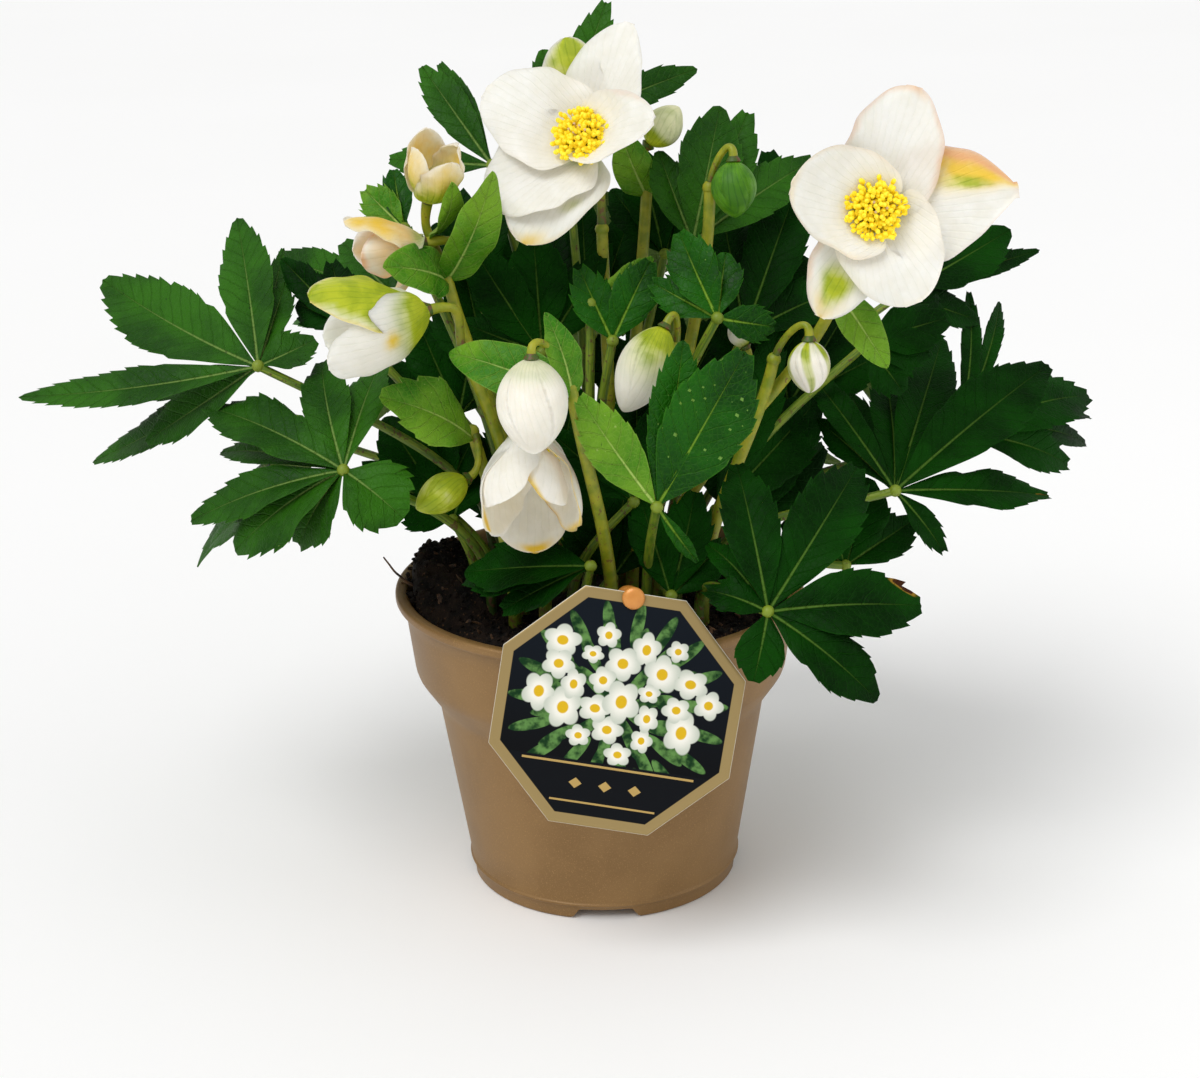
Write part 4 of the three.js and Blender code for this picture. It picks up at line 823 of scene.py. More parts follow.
def blade(length, width, rows, arch, fold, draw, half_width, wave, quilt=0.12, twist=0, scorch=None):
    """A leaf blade's rings, drawing (across and along in mm, share along) and look (underside, scorch,
    share across), along +X with its upper face towards +Z. It arches over its length as t(1 - t), folds
    up from its rib and rolls down again at its rim, bulges between its side veins, and its rim waves as
    two sines along the length. `quilt` is the height of the bulges, and `twist` the turn of the tip in
    radians. The two faces share the rim."""
    along, tooth, depth = (values[:, None] for values in rows)
    reach = np.abs(BLADE_ACROSS)
    half = width / 2 * half_width(along)
    to_rim = reach ** 6
    y = BLADE_ACROSS * half * (1 - TOOTH_DEPTH * depth * (1 - tooth) * to_rim)
    x = along * length + 0.35 * TOOTH_SPACING * depth * tooth * to_rim * (along > TEETH_START)
    bow = draw.uniform(-0.015, 0.015)
    turn = twist + draw.uniform(-0.4, 0.4)
    phase = draw.uniform(0, 6.28, 2)
    flat = np.abs(y)
    crown = 4 * arch * length * along * (1 - along)
    ripple = np.sin(phase[0] + BLADE_ACROSS + along * 11)
    ripple = ripple + 0.5 * np.sin(phase[1] - BLADE_ACROSS + along * 21)
    bulge = quilt * np.cos(2 * np.pi * (x - flat * 1.05) / VEIN_SPACING) * (1 - reach) * reach * 4
    rib = np.exp(-(flat / 1.1) ** 2)
    under = 0.75 * np.exp(-(y / 0.8) ** 2) * (1.05 - along)
    thickness = BLADE_HALF_THICKNESS * (1 - reach ** 8)
    z = fold * flat * (1.2 - 0.4 * along) - RIM_ROLL * half * reach ** 3 + wave * half * ripple * reach ** 2
    z = crown + z + bulge - 0.3 * rib * (1 - along)
    z = z + np.where(BLADE_FACE > 0, thickness, -thickness - under * (reach < 1))
    turn, above = turn * along * along, z - crown
    y, z = y * np.cos(turn) - above * np.sin(turn), crown + y * np.sin(turn) + above * np.cos(turn)
    y = y + 4 * bow * length * along * (1 - along)
    burnt = 0 * y
    if scorch:
        place, aside, size = scorch
        burnt = np.exp(-((along - place) ** 2 + (0.4 * (BLADE_ACROSS - aside)) ** 2) / size ** 2)
    return stacked(x, y, z), stacked(BLADE_ACROSS * half, x, along), stacked(BLADE_FACE < 0, burnt, reach)


def lance(along):
    """Share of the half width of a lance-shaped leaflet: widest past the middle, drawn out at both ends."""
    return np.sin(np.pi * along ** 1.25) ** 0.85


def turned(points, bearing, drop=0.0):
    """Points tipped down by `drop` about Y, then turned by `bearing` about Z, in degrees."""
    drop, bearing = np.radians(drop), np.radians(bearing)
    x, y, z = np.moveaxis(points, -1, 0)
    x, z = x * np.cos(drop) + z * np.sin(drop), z * np.cos(drop) - x * np.sin(drop)
    x, y = x * np.cos(bearing) - y * np.sin(bearing), x * np.sin(bearing) + y * np.cos(bearing)
    return np.stack([x, y, z], axis=-1)


def stem_path(root, end, arrival, approach, count=26):
    """A stem that stands upright in the soil, then bends over to arrive at its end along a direction."""
    foot = footing(root)
    bottom = np.array([*foot, HOLE_FLOOR + CLEARANCE])
    collar = np.array([*foot, STALK_STRAIGHT])
    reach = np.linalg.norm(end - collar)
    lift = collar + (0, 0, STEM_LIFT * reach)
    return np.concatenate([
        bezier(bottom, collar, count=4)[:-1],
        bezier(collar, lift, end - approach * reach * arrival, end, count=count),
    ])


def stem_skin(path, radius, around=10):
    """A round stem. Its drawing is the way round, the way along in mm and the share along."""
    steps = np.linalg.norm(np.diff(path, axis=0), axis=1)
    along = np.concatenate([[0], np.cumsum(steps)])
    angle = np.linspace(0, 2 * np.pi, around, endpoint=False)
    along = along[:, None]
    drawing = stacked(np.cos(angle), along, along / along[-1])
    return Skin(tube_rings(path, radius, around), drawing=drawing)


def ball_skin(middle, radius):
    """A small round knob, drawn as the end of its stem."""
    polar = np.linspace(0.25, np.pi - 0.25, 7)
    outline = np.stack([radius * np.sin(polar), -radius * np.cos(polar)], axis=-1)
    rings = turned_rings(outline, 12) + middle
    return Skin(rings, drawing=np.ones_like(rings))


def leaf_finish(name, dark, light, vein_tone, rib_tone, under_tone, gloss, shine):
    """Leather-like leaf: two greens in wide patches and clouds, a pale rib that fades to the tip, side
    veins that slant forward from it, a fine net between them, dark specks, a paler dull underside, a
    thin light rim and scorched corners."""
    material, inputs, place = finish(name, {"Specular IOR Level": shine})
    across, along, share = mark(place, "drawing")
    underside, burnt, reach = mark(place, "look")
    side = abs(across)
    cloud = place.noise(place, 12, 4)
    patch = (0.6 * place.noise(place, 40, 1) + 0.4 * cloud).fade(0.36, 0.64)
    green = patch.colour(tone(dark), tone(light))
    order = (along - side * 1.05) / VEIN_SPACING + place.noise(place, 9) * 0.9
    vein = abs(order.math("FRACT", order) - 0.5).fade(0.08, 0.01)
    net = place.node("TexVoronoi", {"feature": "DISTANCE_TO_EDGE"}, {"Vector": place, "Scale": NET_SCALE})
    mesh = net.fade(0.14, 0.02)
    green = (vein * 0.25).colour(green, tone(vein_tone))
    green = (mesh * 0.12).colour(green, tone(vein_tone))
    rib = (side / (0.62 - 0.48 * share)).fade(1.1, 0.35)
    green = (rib * (1.1 - share).fade(0.0, 0.95) * 0.75).colour(green, tone(rib_tone))
    green = (reach.fade(0.93, 1.0) * 0.35).colour(green, tone(vein_tone))
    speck = place.noise(place, 1.3, 1).fade(0.73, 0.78)
    green = (speck * 0.5).colour(green, tone("#071506"))
    below = (vein * 0.4).colour(tone(under_tone), tone(rib_tone))
    green = underside.colour(green, below)
    ragged = burnt + 0.35 * (place.noise(place, 3) - 0.5)
    green = ragged.fade(0.3, 0.5).colour(green, tone("#8d6d24"))
    green = ragged.fade(0.5, 0.62).colour(green, tone("#3d2213"))
    green.into(inputs["Base Color"])
    (gloss + 0.14 * cloud + 0.25 * underside + 0.3 * burnt).into(inputs["Roughness"])
    (0.5 * mesh * -1 + vein * -1.4 + rib * -1.2 + place.noise(place, 1.8)).bump(0.2).into(inputs["Normal"])
    return material


mature_leaf = leaf_finish("mature_leaf", "#153f04", "#2d640a", "#3a7016", "#78964a", "#56702c", 0.4, 0.12)
# A deeper green: the own tone of some outer leaves, and painted shade on the leaves inside the plant.
deep_and_shaded_leaf = leaf_finish(
    "deep_green_and_shaded_leaf", "#021e00", "#0b3d02", "#164b08", "#55772c", "#35521c", 0.42, 0.05,
)
young_leaf = leaf_finish("young_leaf", "#053200", "#195a03", "#3d7f10", "#86ac34", "#6b9440", 0.36, 0.14)
bract_green = leaf_finish("bract", "#2f7206", "#73a024", "#96ba4c", "#b9d370", "#8fae50", 0.36, 0.16)

stalk_green, inputs, place = finish("leaf_stalk", {"Specular IOR Level": 0.45})
around, along, share = mark(place, "drawing")
streak = place.node("TexNoise", {}, {
    "Vector": place.node("CombineXYZ", {}, {0: around * 3, 1: along * 0.12, 2: place.noise(place, 20)}),
    "Scale": 1.0, "Detail": 3.0,
})
green = streak.fade(0.35, 0.65).colour(tone("#4a6c10"), tone("#7d9020"))
green = share.fade(0.75, 0.15).colour(green, tone("#26400a"))
blotch = (place.noise(place, 1.6, 2) + 0.12 * (1 - share)).fade(0.62, 0.7)
(blotch * 0.75).colour(green, tone("#5a3324")).into(inputs["Base Color"])
(0.42 + 0.15 * streak).into(inputs["Roughness"])
(streak + blotch).bump(0.1).into(inputs["Normal"])

for number, (name, (knob, looks, root, leaflets)) in enumerate({**LEAVES, **INNER_LEAVES}.items()):
    draw = np.random.default_rng(100 + number)
    knob = np.array(knob, float)
    young = name.endswith("young")
    # The leaves inside the plant take the deeper green as painted shade.
    flesh = young_leaf if young else deep_and_shaded_leaf if name in DEEP_AND_SHADED_LEAVES else mature_leaf
    parts = []
    for order, (bearing, length, width, drop) in enumerate((*leaflets, *FURTHER_LEAFLETS.get(name, ()))):
        rows = toothed_rows(length, draw)
        rings, drawing, look = blade(
            length, width, rows, LEAF_ARCHES.get(name, LEAF_ARCH), LEAF_FOLD, draw, lance,
            wave=draw.uniform(0.04, 0.12), quilt=0.3 if young else 0.12,
            twist=TWISTED.get((name, order), 0), scorch=SCORCHED.get((name, order)),
        )
        rings = facing(knob, looks, turned(rings, bearing, drop))
        bright = order == 0 and name in BRIGHT_LEAVES
        parts.append((Skin(rings, drawing=drawing, look=look), bract_green if bright else flesh))
    collar = np.array([*footing(root), STALK_STRAIGHT])
    arrival = unit((knob - collar) * (1, 1, LEAF_ARRIVAL_SLOPE))
    path = stem_path(root, knob, arrival, LEAF_APPROACH)
    radius = np.interp(np.arange(len(path)), [0, len(path) - 1], [1.0, 0.8]) * LEAF_STALK_RADIUS
    parts.append((stem_skin(path, radius), stalk_green))
    parts.append((ball_skin(knob, LEAF_STALK_RADIUS * 1.15), stalk_green))
    stands_for = [f"leaf_{name}"] if name in LEAVES else []
    piece(f"hellebore_leaf_{name}", parts, replaces=stands_for)

# ---- Flower stems ----
# Fleshy scapes, each from the soil to a joint, with bowed stalks on to its flowers and leafy bracts at
# the joint, all grown in one piece. They are yellow-green, spotted with red-brown towards the foot.

SCAPE_RADIUS, STALK_RADIUS = 2.1, 1.5
HOOKED_STALK = 0.8  # thickness of a nodding bud's stalk beside that of a flower
SCAPE_APPROACH = 0.3
STALK_ROOT_DEPTH, STALK_RISE, STALK_HOOK = 1.5, 0.45, 14
STALK_POINTS = 26
BRACT_ROOT_DEPTH = 3
BRACT_ARCH, BRACT_FOLD = 0.1, 0.25
NECK = 3.4

# Each flower: the middle of its knob and the way it faces. Open ones have sepals as turn, length, width,
# opening angles at root and tip, layer, and marks: stains of lime, blush or gold as soft spots of (share
# along, share across, their half lengths, strength), a blushed or gilded rim, a crease, and a taper from
# 0.3 for blunt ends to 1 for pointed ones. Buds have a length, a width and how lime-green they are at the
# top, on one side, in stripes and all over.
PALE_STAINS = dict(lime=((0.1, 0, 0.5, 1.5, 1.1),), gold=((0.6, 0, 0.6, 1.5, 0.8),))
FLOWERS = {
    "upper": dict(at=(-1, -5, 242), facing=(-110, 36), sepals=(
        (160, 35, 34, (35, 0), 0, dict(gold_rim=0.2)),
        (109, 34, 23, (30, 12), 4, dict(
            lime=((0.88, 0, 0.3, 0.9, 1.3),), gold=((0.7, 0.2, 0.3, 0.9, 0.5),))),
        (76, 39, 27, (35, 0), 2, dict(blush_rim=0.15, taper=0.6)),
        (-2, 34, 27, (56, 22), 0, dict(blush=((0.75, 0.9, 0.2, 0.2, 0.5),), blush_rim=0.1)),
        (-112, 37, 34, (30, -12), 3, dict(
            gold=((0.97, 0.3, 0.16, 0.7, 0.6),), lime=((0.55, 0.45, 0.12, 0.2, 0.6),), gold_rim=0.35)),
        (-137, 34, 36, (30, -5), 1, dict(gold_rim=0.15)))),
    "right": dict(at=(82, -33, 226), facing=(-88, 18), sepals=(
        (71, 38, 32, (35, 0), 1, dict(blush_rim=0.7)),
        (6, 43, 36, (35, 0.5), 2, dict(
            gold=((0.7, 0.6, 0.45, 0.5, 1.1),), blush=((0.8, 1.0, 0.45, 0.3, 1.5),),
            lime=((0.66, 0.3, 0.2, 0.16, 0.9),), blush_rim=0.4, crease=-0.35, taper=0.75)),
        (-70, 30, 36, (35, -5), 0, dict(gold_rim=0.25)),
        (-119, 35, 24, (30, -10), 1, dict(
            lime=((0.7, 0, 0.2, 0.5, 1.2),), gold=((1, 0, 0.3, 1, 0.7),),
            blush=((0.6, -1, 0.4, 0.25, 0.8),))),
        (165, 30, 38, (45, 20), 0, dict(blush_rim=0.3, gold_rim=0.4)))),
    "bell": dict(at=(-21, -38, 161), facing=(-90, -50), wrap=1, cup=0, sepals=(
        (-85, 36, 32, (26, 112), 2, dict(gold=((1, 0.2, 0.1, 0.6, 1.1),), gold_rim=0.3, taper=0.38)),
        (-15, 33, 34, (26, 104), 1, dict(
            gold_rim=0.8, blush=((0.5, 0.6, 0.3, 0.3, 0.6),), taper=0.38)),
        (42, 29, 24, (28, 108), 0, dict(
            gold=((0.9, 1, 0.25, 0.2, 1.1),), blush=((0.5, 1, 0.3, 0.2, 0.8),), taper=0.4)),
        (133, 29, 30, (28, 108), 1, dict(taper=0.38)),
        (-158, 34, 32, (26, 112), 0, dict(gold=((0.95, -0.4, 0.14, 0.6, 1.0),), taper=0.38)))),
    "left": dict(at=(-51, -38, 200), facing=(-166, -10), wrap=1, cup=0, sepals=(
        (-20, 34, 29, (38, 106), 2, dict(
            lime=((0.1, 0, 0.35, 1.5, 0.9),),
            gold=((0.45, 0.1, 0.07, 0.15, 0.9), (0.4, 0, 0.8, 1.5, 0.22)))),
        (58, 36, 27, (42, 88), 1, dict(lime=((0.62, 0.15, 0.65, 1.1, 1.5),), gold_rim=0.8)),
        (125, 32, 26, (42, 95), 0, dict(lime=((0.3, 0, 0.45, 0.9, 0.9),))),
        (-160, 32, 26, (38, 100), 1, dict(gold=((0.4, 0, 0.8, 1.5, 0.2),))),
        (-88, 32, 26, (38, 106), 0, dict(lime=((0.1, 0, 0.25, 1.5, 0.6),))))),
    "peach": dict(at=(-52, -14, 215), facing=(-168, -8), wrap=1, cup=0, knob=0.8, sepals=(
        (0, 21, 20, (40, 105), 0, dict(
            gold=((0.5, 0, 0.5, 1.5, 0.6),), blush=((0.6, 0, 0.5, 1, 0.5),), blush_rim=0.7)),
        (80, 24, 20, (40, 95), 1, dict(gold=((0.6, 0, 0.6, 1.5, 0.9),), blush=((0.3, 0, 0.3, 1, 0.5),))),
        (180, 22, 20, (40, 105), 0, dict(
            blush=((0.5, 0, 0.5, 1.5, 0.9),), gold=((0.8, 0, 0.4, 1, 0.5),))),
        (-80, 28, 19, (30, 75), 1, dict(
            gold=((0.8, 0, 0.5, 1.5, 0.9),), blush=((0.3, 0, 0.3, 1.5, 0.7),))))),
    "pale": dict(at=(-49, -12, 229), facing=(-60, 62), wrap=1, cup=0, knob=0.8, sepals=(
        (0, 20, 19, (30, 118), 0, PALE_STAINS),
        (90, 21, 19, (30, 112), 1, dict(gold=((0.5, 0, 0.6, 1.5, 0.8),), blush=((0.8, 0, 0.3, 1, 0.4),))),
        (180, 20, 19, (30, 118), 0, PALE_STAINS),
        (-90, 20, 19, (30, 118), 1, dict(
            lime=((0.2, 0, 0.5, 1.5, 1.1),), gold=((0.6, 0, 0.6, 1.5, 0.8),))))),
    "egg": dict(at=(-18, -66, 193), facing=(-90, -86), length=28, width=21, knob=0.6, top=0.5),
    "slim": dict(
        at=(21, -31, 192), facing=(-150, -58), length=28, width=16.5, knob=0.6, top=0.5, side=0.7),
    "small": dict(at=(46, -18, 182), facing=(150, 60), length=9, width=7, knob=0.5, top=0.6, overall=0.2),
    "striped": dict(
        at=(64, -34, 188), facing=(-90, -85), length=16, width=13, knob=0.6, top=0.5, stripes=0.7),
    "yellow": dict(at=(-40, -29, 145), facing=(-160, -25), length=18, width=12, knob=0.6, overall=1.2),
    "hidden": dict(
        at=(18, 17, 238), facing=(0, 50), length=15, width=12, knob=0.6, top=0.5, overall=0.7),
    "green": dict(
        at=(43, -7, 237), facing=(-85, -80), length=17, width=14, knob=0.6, overall=1.3, deep=True),
}
# Each scape: its root, its joint, the way it leans there, its flowers, how far a nodding bud's stalk hooks
# over, and its bracts as tip, width and the way the upper face looks; `stalk` gives the stalk from whose
# middle a bract grows.
SCAPES = {
    "upper": dict(root=(10, 60), joint=(3, 6, 214), lean=(100, 82), carries=("upper",)),
    "right": dict(root=(26, -44), joint=(74, -26, 203), lean=(-20, 75), carries=("right",), bracts=(
        dict(tip=(87, -38, 180), width=12, looks=(-90, 20)),)),
    "bell": dict(root=(36, -118), joint=(-18, -28, 166), lean=(120, 80), carries=("bell",)),
    "left": dict(root=(28, -150), joint=(-39, -29, 183), lean=(180, 65), carries=("left",)),
    "double": dict(
        root=(22, -165), joint=(-45, -12, 206), lean=(165, 78), carries=("peach", "pale"), bracts=(
            dict(tip=(-29, -21, 238), width=16, looks=(-60, 20)),
            dict(tip=(-62, -31, 212), width=17, looks=(-100, 30)),
            dict(tip=(-41, -26, 236), width=10, looks=(-50, 20), stalk=1))),
    "egg": dict(
        root=(38, -84), joint=(-7, -54, 181), lean=(120, 75), carries=("egg",), hook=8, bracts=(
            dict(tip=(-14, -57, 204), width=11, looks=(-60, 10)),
            dict(tip=(-43, -40, 188), width=16, looks=(-90, 25)))),
    "slim": dict(root=(22, -62), joint=(24.5, -27, 184.5), lean=(60, 64), carries=("slim",), hook=8),
    "small": dict(root=(21, -29), joint=(46, -13.5, 170.5), lean=(64, 78), carries=("small",), hook=4),
    "striped": dict(root=(41, -38), joint=(54, -27.5, 180.5), lean=(-24, 79), carries=("striped",), hook=8),
    "yellow": dict(
        root=(36, -138), joint=(-38, -22, 158), lean=(150, 75), carries=("yellow",), hook=7, bracts=(
            dict(tip=(-64, -44, 176), width=22, looks=(-95, 40), toothed=True),)),
    "hidden": dict(
        root=(9, -26), joint=(17.5, 22, 224), lean=(62, 82), carries=("hidden",), hook=5, bracts=(
            dict(tip=(9, 15, 243), width=13, looks=(-100, 10)),)),
    "green": dict(root=(18, -10), joint=(36, -2, 228), lean=(100, 85), carries=("green",), hook=8),
}


def broad(along):
    """Share of the half width of a bract: broad from near its foot, round to a short tip."""
    return np.sin(np.pi * along ** 0.85) ** 0.6


def bract_skin(start, tip, width, looks, draw, toothed=False):
    """A bract from a stem to its tip, its upper face towards a direction."""
    along = np.array(tip, float) - start
    length = np.linalg.norm(along)
    along = along / length
    over = unit(np.cross(direction(*looks), along))
    rows = toothed_rows(length, draw) if toothed else smooth_rows(30)
    rings, drawing, look = blade(
        length, width, rows, BRACT_ARCH, BRACT_FOLD, draw, lance if toothed else broad, wave=0.12,
    )
    rings = rings @ np.stack([along, over, np.cross(along, over)]) + start
    return Skin(rings, drawing=drawing, look=look)


scape_green, inputs, place = finish("scape_flesh", {"Specular IOR Level": 0.5, "Subsurface Weight": 0.05})
share = mark(place, "drawing")[2]
streak = place.noise(place, 4, 3)
green = streak.fade(0.3, 0.7).colour(tone("#77870c"), tone("#a09f1c"))
green = share.fade(0.6, 0.0).colour(green, tone("#3c560a"))
blotch = (place.noise(place, 1.5, 2) + 0.2 * (0.6 - share)).fade(0.62, 0.7)
(blotch * 0.7).colour(green, tone("#6a3b28")).into(inputs["Base Color"])
(0.4 + 0.15 * streak).into(inputs["Roughness"])
(streak + place.noise(place, 1)).bump(0.12).into(inputs["Normal"])

for number, (name, scape) in enumerate(SCAPES.items()):
    draw = np.random.default_rng(300 + number)
    joint = np.array(scape["joint"], float)
    heading = direction(*scape["lean"])
    path = stem_path(scape["root"], joint, heading, SCAPE_APPROACH, count=30)
    radius = np.interp(np.arange(len(path)), [0, len(path) - 1], [1.0, 0.85]) * SCAPE_RADIUS
    parts = [(stem_skin(path, radius, 12), scape_green)]
    parts.append((ball_skin(joint, SCAPE_RADIUS * 1.05), scape_green))
    slim = HOOKED_STALK if "hook" in scape else 1
    swell = np.interp(np.linspace(0, 1, STALK_POINTS), [0, 0.15, 0.8, 1], [1.1, 0.95, 0.9, 1.15])
    stalks = []
    for flower in scape["carries"]:
        flower = FLOWERS[flower]
        axis = direction(*flower["facing"])
        end = flower["at"] - axis * (NECK * flower.get("knob", 1) - 0.6)
        start = joint - heading * STALK_ROOT_DEPTH
        rise = joint + heading * np.linalg.norm(end - start) * STALK_RISE
        last_bend = end - axis * scape.get("hook", STALK_HOOK)
        stalks.append(bezier(start, rise, last_bend, end, count=STALK_POINTS))
        parts.append((stem_skin(stalks[-1], swell * STALK_RADIUS * slim), scape_green))
    for bract in scape.get("bracts", ()):
        bract = dict(bract)
        stalk = bract.pop("stalk", None)
        start = joint - heading * BRACT_ROOT_DEPTH if stalk is None else stalks[stalk][STALK_POINTS // 2]
        parts.append((bract_skin(start, draw=draw, **bract), bract_green))
    piece(f"flower_stem_{name}", parts, replaces=[f"scape_{name}"])

# ---- Open flowers ----
# White flowers of five or six broad waxy sepals that overlap round a small green knob; lime, peach or
# yellow stains on tips and edges show their age. Each flower grew as one piece.

SEPAL_HALF_THICKNESS = 0.22
SEPAL_STEP = 1.3
SEPAL_ROOT = 1.2
SEPAL_BLUNT = 0.14
OPEN_WRAP, OPEN_CUP = 0.5, 0.12
ROOT_LIME = (0.04, 0, 0.2, 2, 0.75)

petal_across = np.array([0, 0.12, 0.25, 0.38, 0.5, 0.62, 0.74, 0.85, 0.94, 0.985, 1])
petal_upper = np.concatenate([petal_across[::-1], -petal_across[1:]])
PETAL_ACROSS = np.concatenate([petal_upper, petal_upper[-2:0:-1]])
PETAL_FACE = np.repeat([1.0, -1.0], [len(petal_upper), len(petal_upper) - 2])


def smooth(value, low, high):
    """0 up to `low` and 1 from `high` on, smooth between, for arrays; falling where high is smaller."""
    share = np.clip((value - low) / (high - low), 0, 1)
    return share * share * (3 - 2 * share)


def on_flower(flower, points):
    """Points given from a flower's knob, with Z the way it faces, moved to their place on the plant."""
    return facing(flower["at"], flower["facing"], points)


def stained(along, marks):
    """How lime, blushed and gilded a sepal is: bell curves round its spots, and a share of its rim."""
    rim = smooth(np.abs(PETAL_ACROSS), 0.7, 1.0) * smooth(along, 0.2, 0.5)
    rim = np.maximum(rim, smooth(along, 0.86, 1.0))
    stains = []
    for name, spots in (("lime", (ROOT_LIME,)), ("blush", ()), ("gold", ())):
        stain = marks.get(name + "_rim", 0) * rim
        for middle, aside, tall, wide, strength in (*spots, *marks.get(name, ())):
            away = ((along - middle) / tall) ** 2 + ((PETAL_ACROSS - aside) / wide) ** 2
            stain = stain + strength * np.exp(-away)
        stains.append(stain)
    return stacked(*stains)


def sepal_skin(heading, length, width, opening, layer, marks, flower, draw):
    """A sepal of a flower. Its middle line leaves the axis at the first opening angle and ends at the
    second, as an arc; it bends round the axis by `wrap` and hollows by `cup` across. Half its width goes
    with a power of a sine, blunt at both ends. It ripples, dents, puffs and curls towards the rim."""
    wrap, cup = flower.get("wrap", OPEN_WRAP), flower.get("cup", OPEN_CUP)
    along = (0.5 - 0.5 * np.cos(np.pi * np.linspace(0.02, 0.99, 44)))[:, None]
    first, last = np.radians(opening)
    bend = last - first
    angle = first + bend * along
    length = length * (1 + 0.07 * np.sin(PETAL_ACROSS * 4 + layer) * along ** 3 * smooth(along, 1.0, 0.8))
    rise = -length * (np.cos(angle) - np.cos(first)) / bend
    spread = SEPAL_ROOT + length * (np.sin(angle) - np.sin(first)) / bend
    reach = np.abs(PETAL_ACROSS)
    phase = draw.uniform(0, 6.28, 4)
    ruffles = draw.uniform(0.8, 1.5)
    skew = 0.85 + draw.uniform(-0.14, 0.14) * PETAL_ACROSS
    lobes = 0.05 * np.sin(along * 9 + phase[3] + PETAL_ACROSS * 2) + 0.025 * np.sin(along * 24 + phase[2])
    narrow_root = (1 - wrap) * smooth(along, 0.42, -0.1)
    outline = np.maximum(SEPAL_BLUNT, np.sin(np.pi * along ** skew) ** marks.get("taper", 0.5))
    half = width / 2 * outline * (1 + lobes * smooth(along, 0.2, 0.5)) * (1 - narrow_root)
    ripple = np.sin(along * 10 + phase[0] + PETAL_ACROSS)
    ripple = ripple + 0.6 * np.sin(along * 21 + phase[1] - PETAL_ACROSS * 2)
    ripple = ruffles * ripple * reach ** 2.5 * 0.9 * (1 - wrap / 2)
    dent = 0.5 * np.sin(along * 5 + phase[2] + PETAL_ACROSS * 3) * smooth(along, 0.1, 0.4) * (1 - reach)
    puff = -0.6 * (1 - reach ** 2) * np.sin(np.pi * along) * (1 - wrap)
    curl = 0.9 * reach ** 8 * np.sin(phase[0])
    crease = marks.get("crease", 0) * half * np.abs(PETAL_ACROSS - 0.1) * smooth(along, 0.2, 0.6)
    hollow = cup * half * PETAL_ACROSS ** 2
    skin = PETAL_FACE * SEPAL_HALF_THICKNESS * (1 - reach ** 10)
    offset = ripple + dent + puff + curl + crease + hollow + skin - layer * SEPAL_STEP
    radius = spread - np.sin(angle) * offset
    height = rise + np.cos(angle) * offset
    sweep = wrap * PETAL_ACROSS * half / np.maximum(radius, SEPAL_ROOT + 4)
    aside = (1 - wrap) * PETAL_ACROSS * half
    around = np.radians(heading) + sweep
    x = radius * np.cos(around) - aside * np.sin(around)
    y = radius * np.sin(around) + aside * np.cos(around)
    drawing = stacked(PETAL_ACROSS * half, along * length, along)
    return Skin(on_flower(flower, stacked(x, y, height)), drawing=drawing, stains=stained(along, marks))


def petal_finish(name, lime_light, lime_dark):
    """Waxy cream-white flesh with faint veins that fan out from the root, stained in patches. A faint
    glow stands for the daylight that comes through it."""
    material, inputs, place = finish(name, {
        "Subsurface Weight": 0.6, "Subsurface Radius": (1.0, 0.9, 0.75), "Subsurface Scale": 2.5 * MM,
        "Specular IOR Level": 0.3, "Emission Strength": 0.07,
    })
    across, _, share = mark(place, "drawing")
    lime, blush, gold = mark(place, "stains")
    cloud = place.noise(place, 6, 4)
    fan = across / (share * 0.8 + 0.35) * 0.42 + 0.7 * place.noise(place, 8)
    line = abs(fan.math("FRACT", fan) - 0.5).fade(0.16, 0.02)
    white = cloud.fade(0.3, 0.75).colour(tone("#e7e2d4"), tone("#f0ece1"))
    white = (line * 0.06).colour(white, tone("#cfcfb0"))
    patchy = 0.7 + 0.9 * (cloud - 0.4)
    white = (gold * patchy).fade(0.06, 0.85).colour(white, tone("#e2b636"))
    white = (blush * patchy).fade(0.06, 1.0).colour(white, tone("#dc9c6c"))
    lime_tone = (line * 0.3 + cloud.fade(0.4, 0.6) * 0.6).colour(tone(lime_light), tone(lime_dark))
    white = (lime * patchy + 0.06 * line * lime).fade(0.08, 0.8).colour(white, lime_tone)
    white.into(inputs["Base Color"])
    white.into(inputs["Emission Color"])
    (0.4 + 0.15 * cloud).into(inputs["Roughness"])
    crumple = place.noise(place, 2.2, 2) + 2 * place.noise(place, 9, 2)
    (crumple - line * 0.4).bump(0.16).into(inputs["Normal"])
    return material


sepal_white = petal_finish("sepal_flesh", "#a9b420", "#7d930c")
sepal_green = petal_finish("young_sepal_flesh", "#558c12", "#275f06")


def knob_skin(flower):
    """The green knob under a flower: a small cup that widens from the stalk to the sepals."""
    height = np.linspace(0, 4, 8)
    radius = np.interp(height, [0, 1, 2.6, 3.6, 4], [1.7, 2.2, 3.4, 3.9, 3.2])
    outline = np.stack([radius, height - NECK], axis=-1) * flower.get("knob", 1)
    return Skin(on_flower(flower, turned_rings(outline, 20)))


for number, (name, flower) in enumerate(FLOWERS.items()):
    if "sepals" not in flower:
        continue
    draw = np.random.default_rng(500 + number)
    parts = [(knob_skin(flower), scape_green)]
    parts += [(sepal_skin(*sepal, flower, draw), sepal_white) for sepal in flower["sepals"]]
    piece(f"flower_{name}", parts, replaces=[f"bloom_{name}"])

# ---- Buds ----
# Closed buds that nod on their stalks: eggs of five waxy sepals, white, striped or lime-green with age,
# each lapping over the next in a slow spiral round the bud. A bud and its knob grew as one piece.

BUD_TWIST = 0.7
BUD_OVERLAP = 0.05
BUD_BRIGHT_SIDE = radians(20)

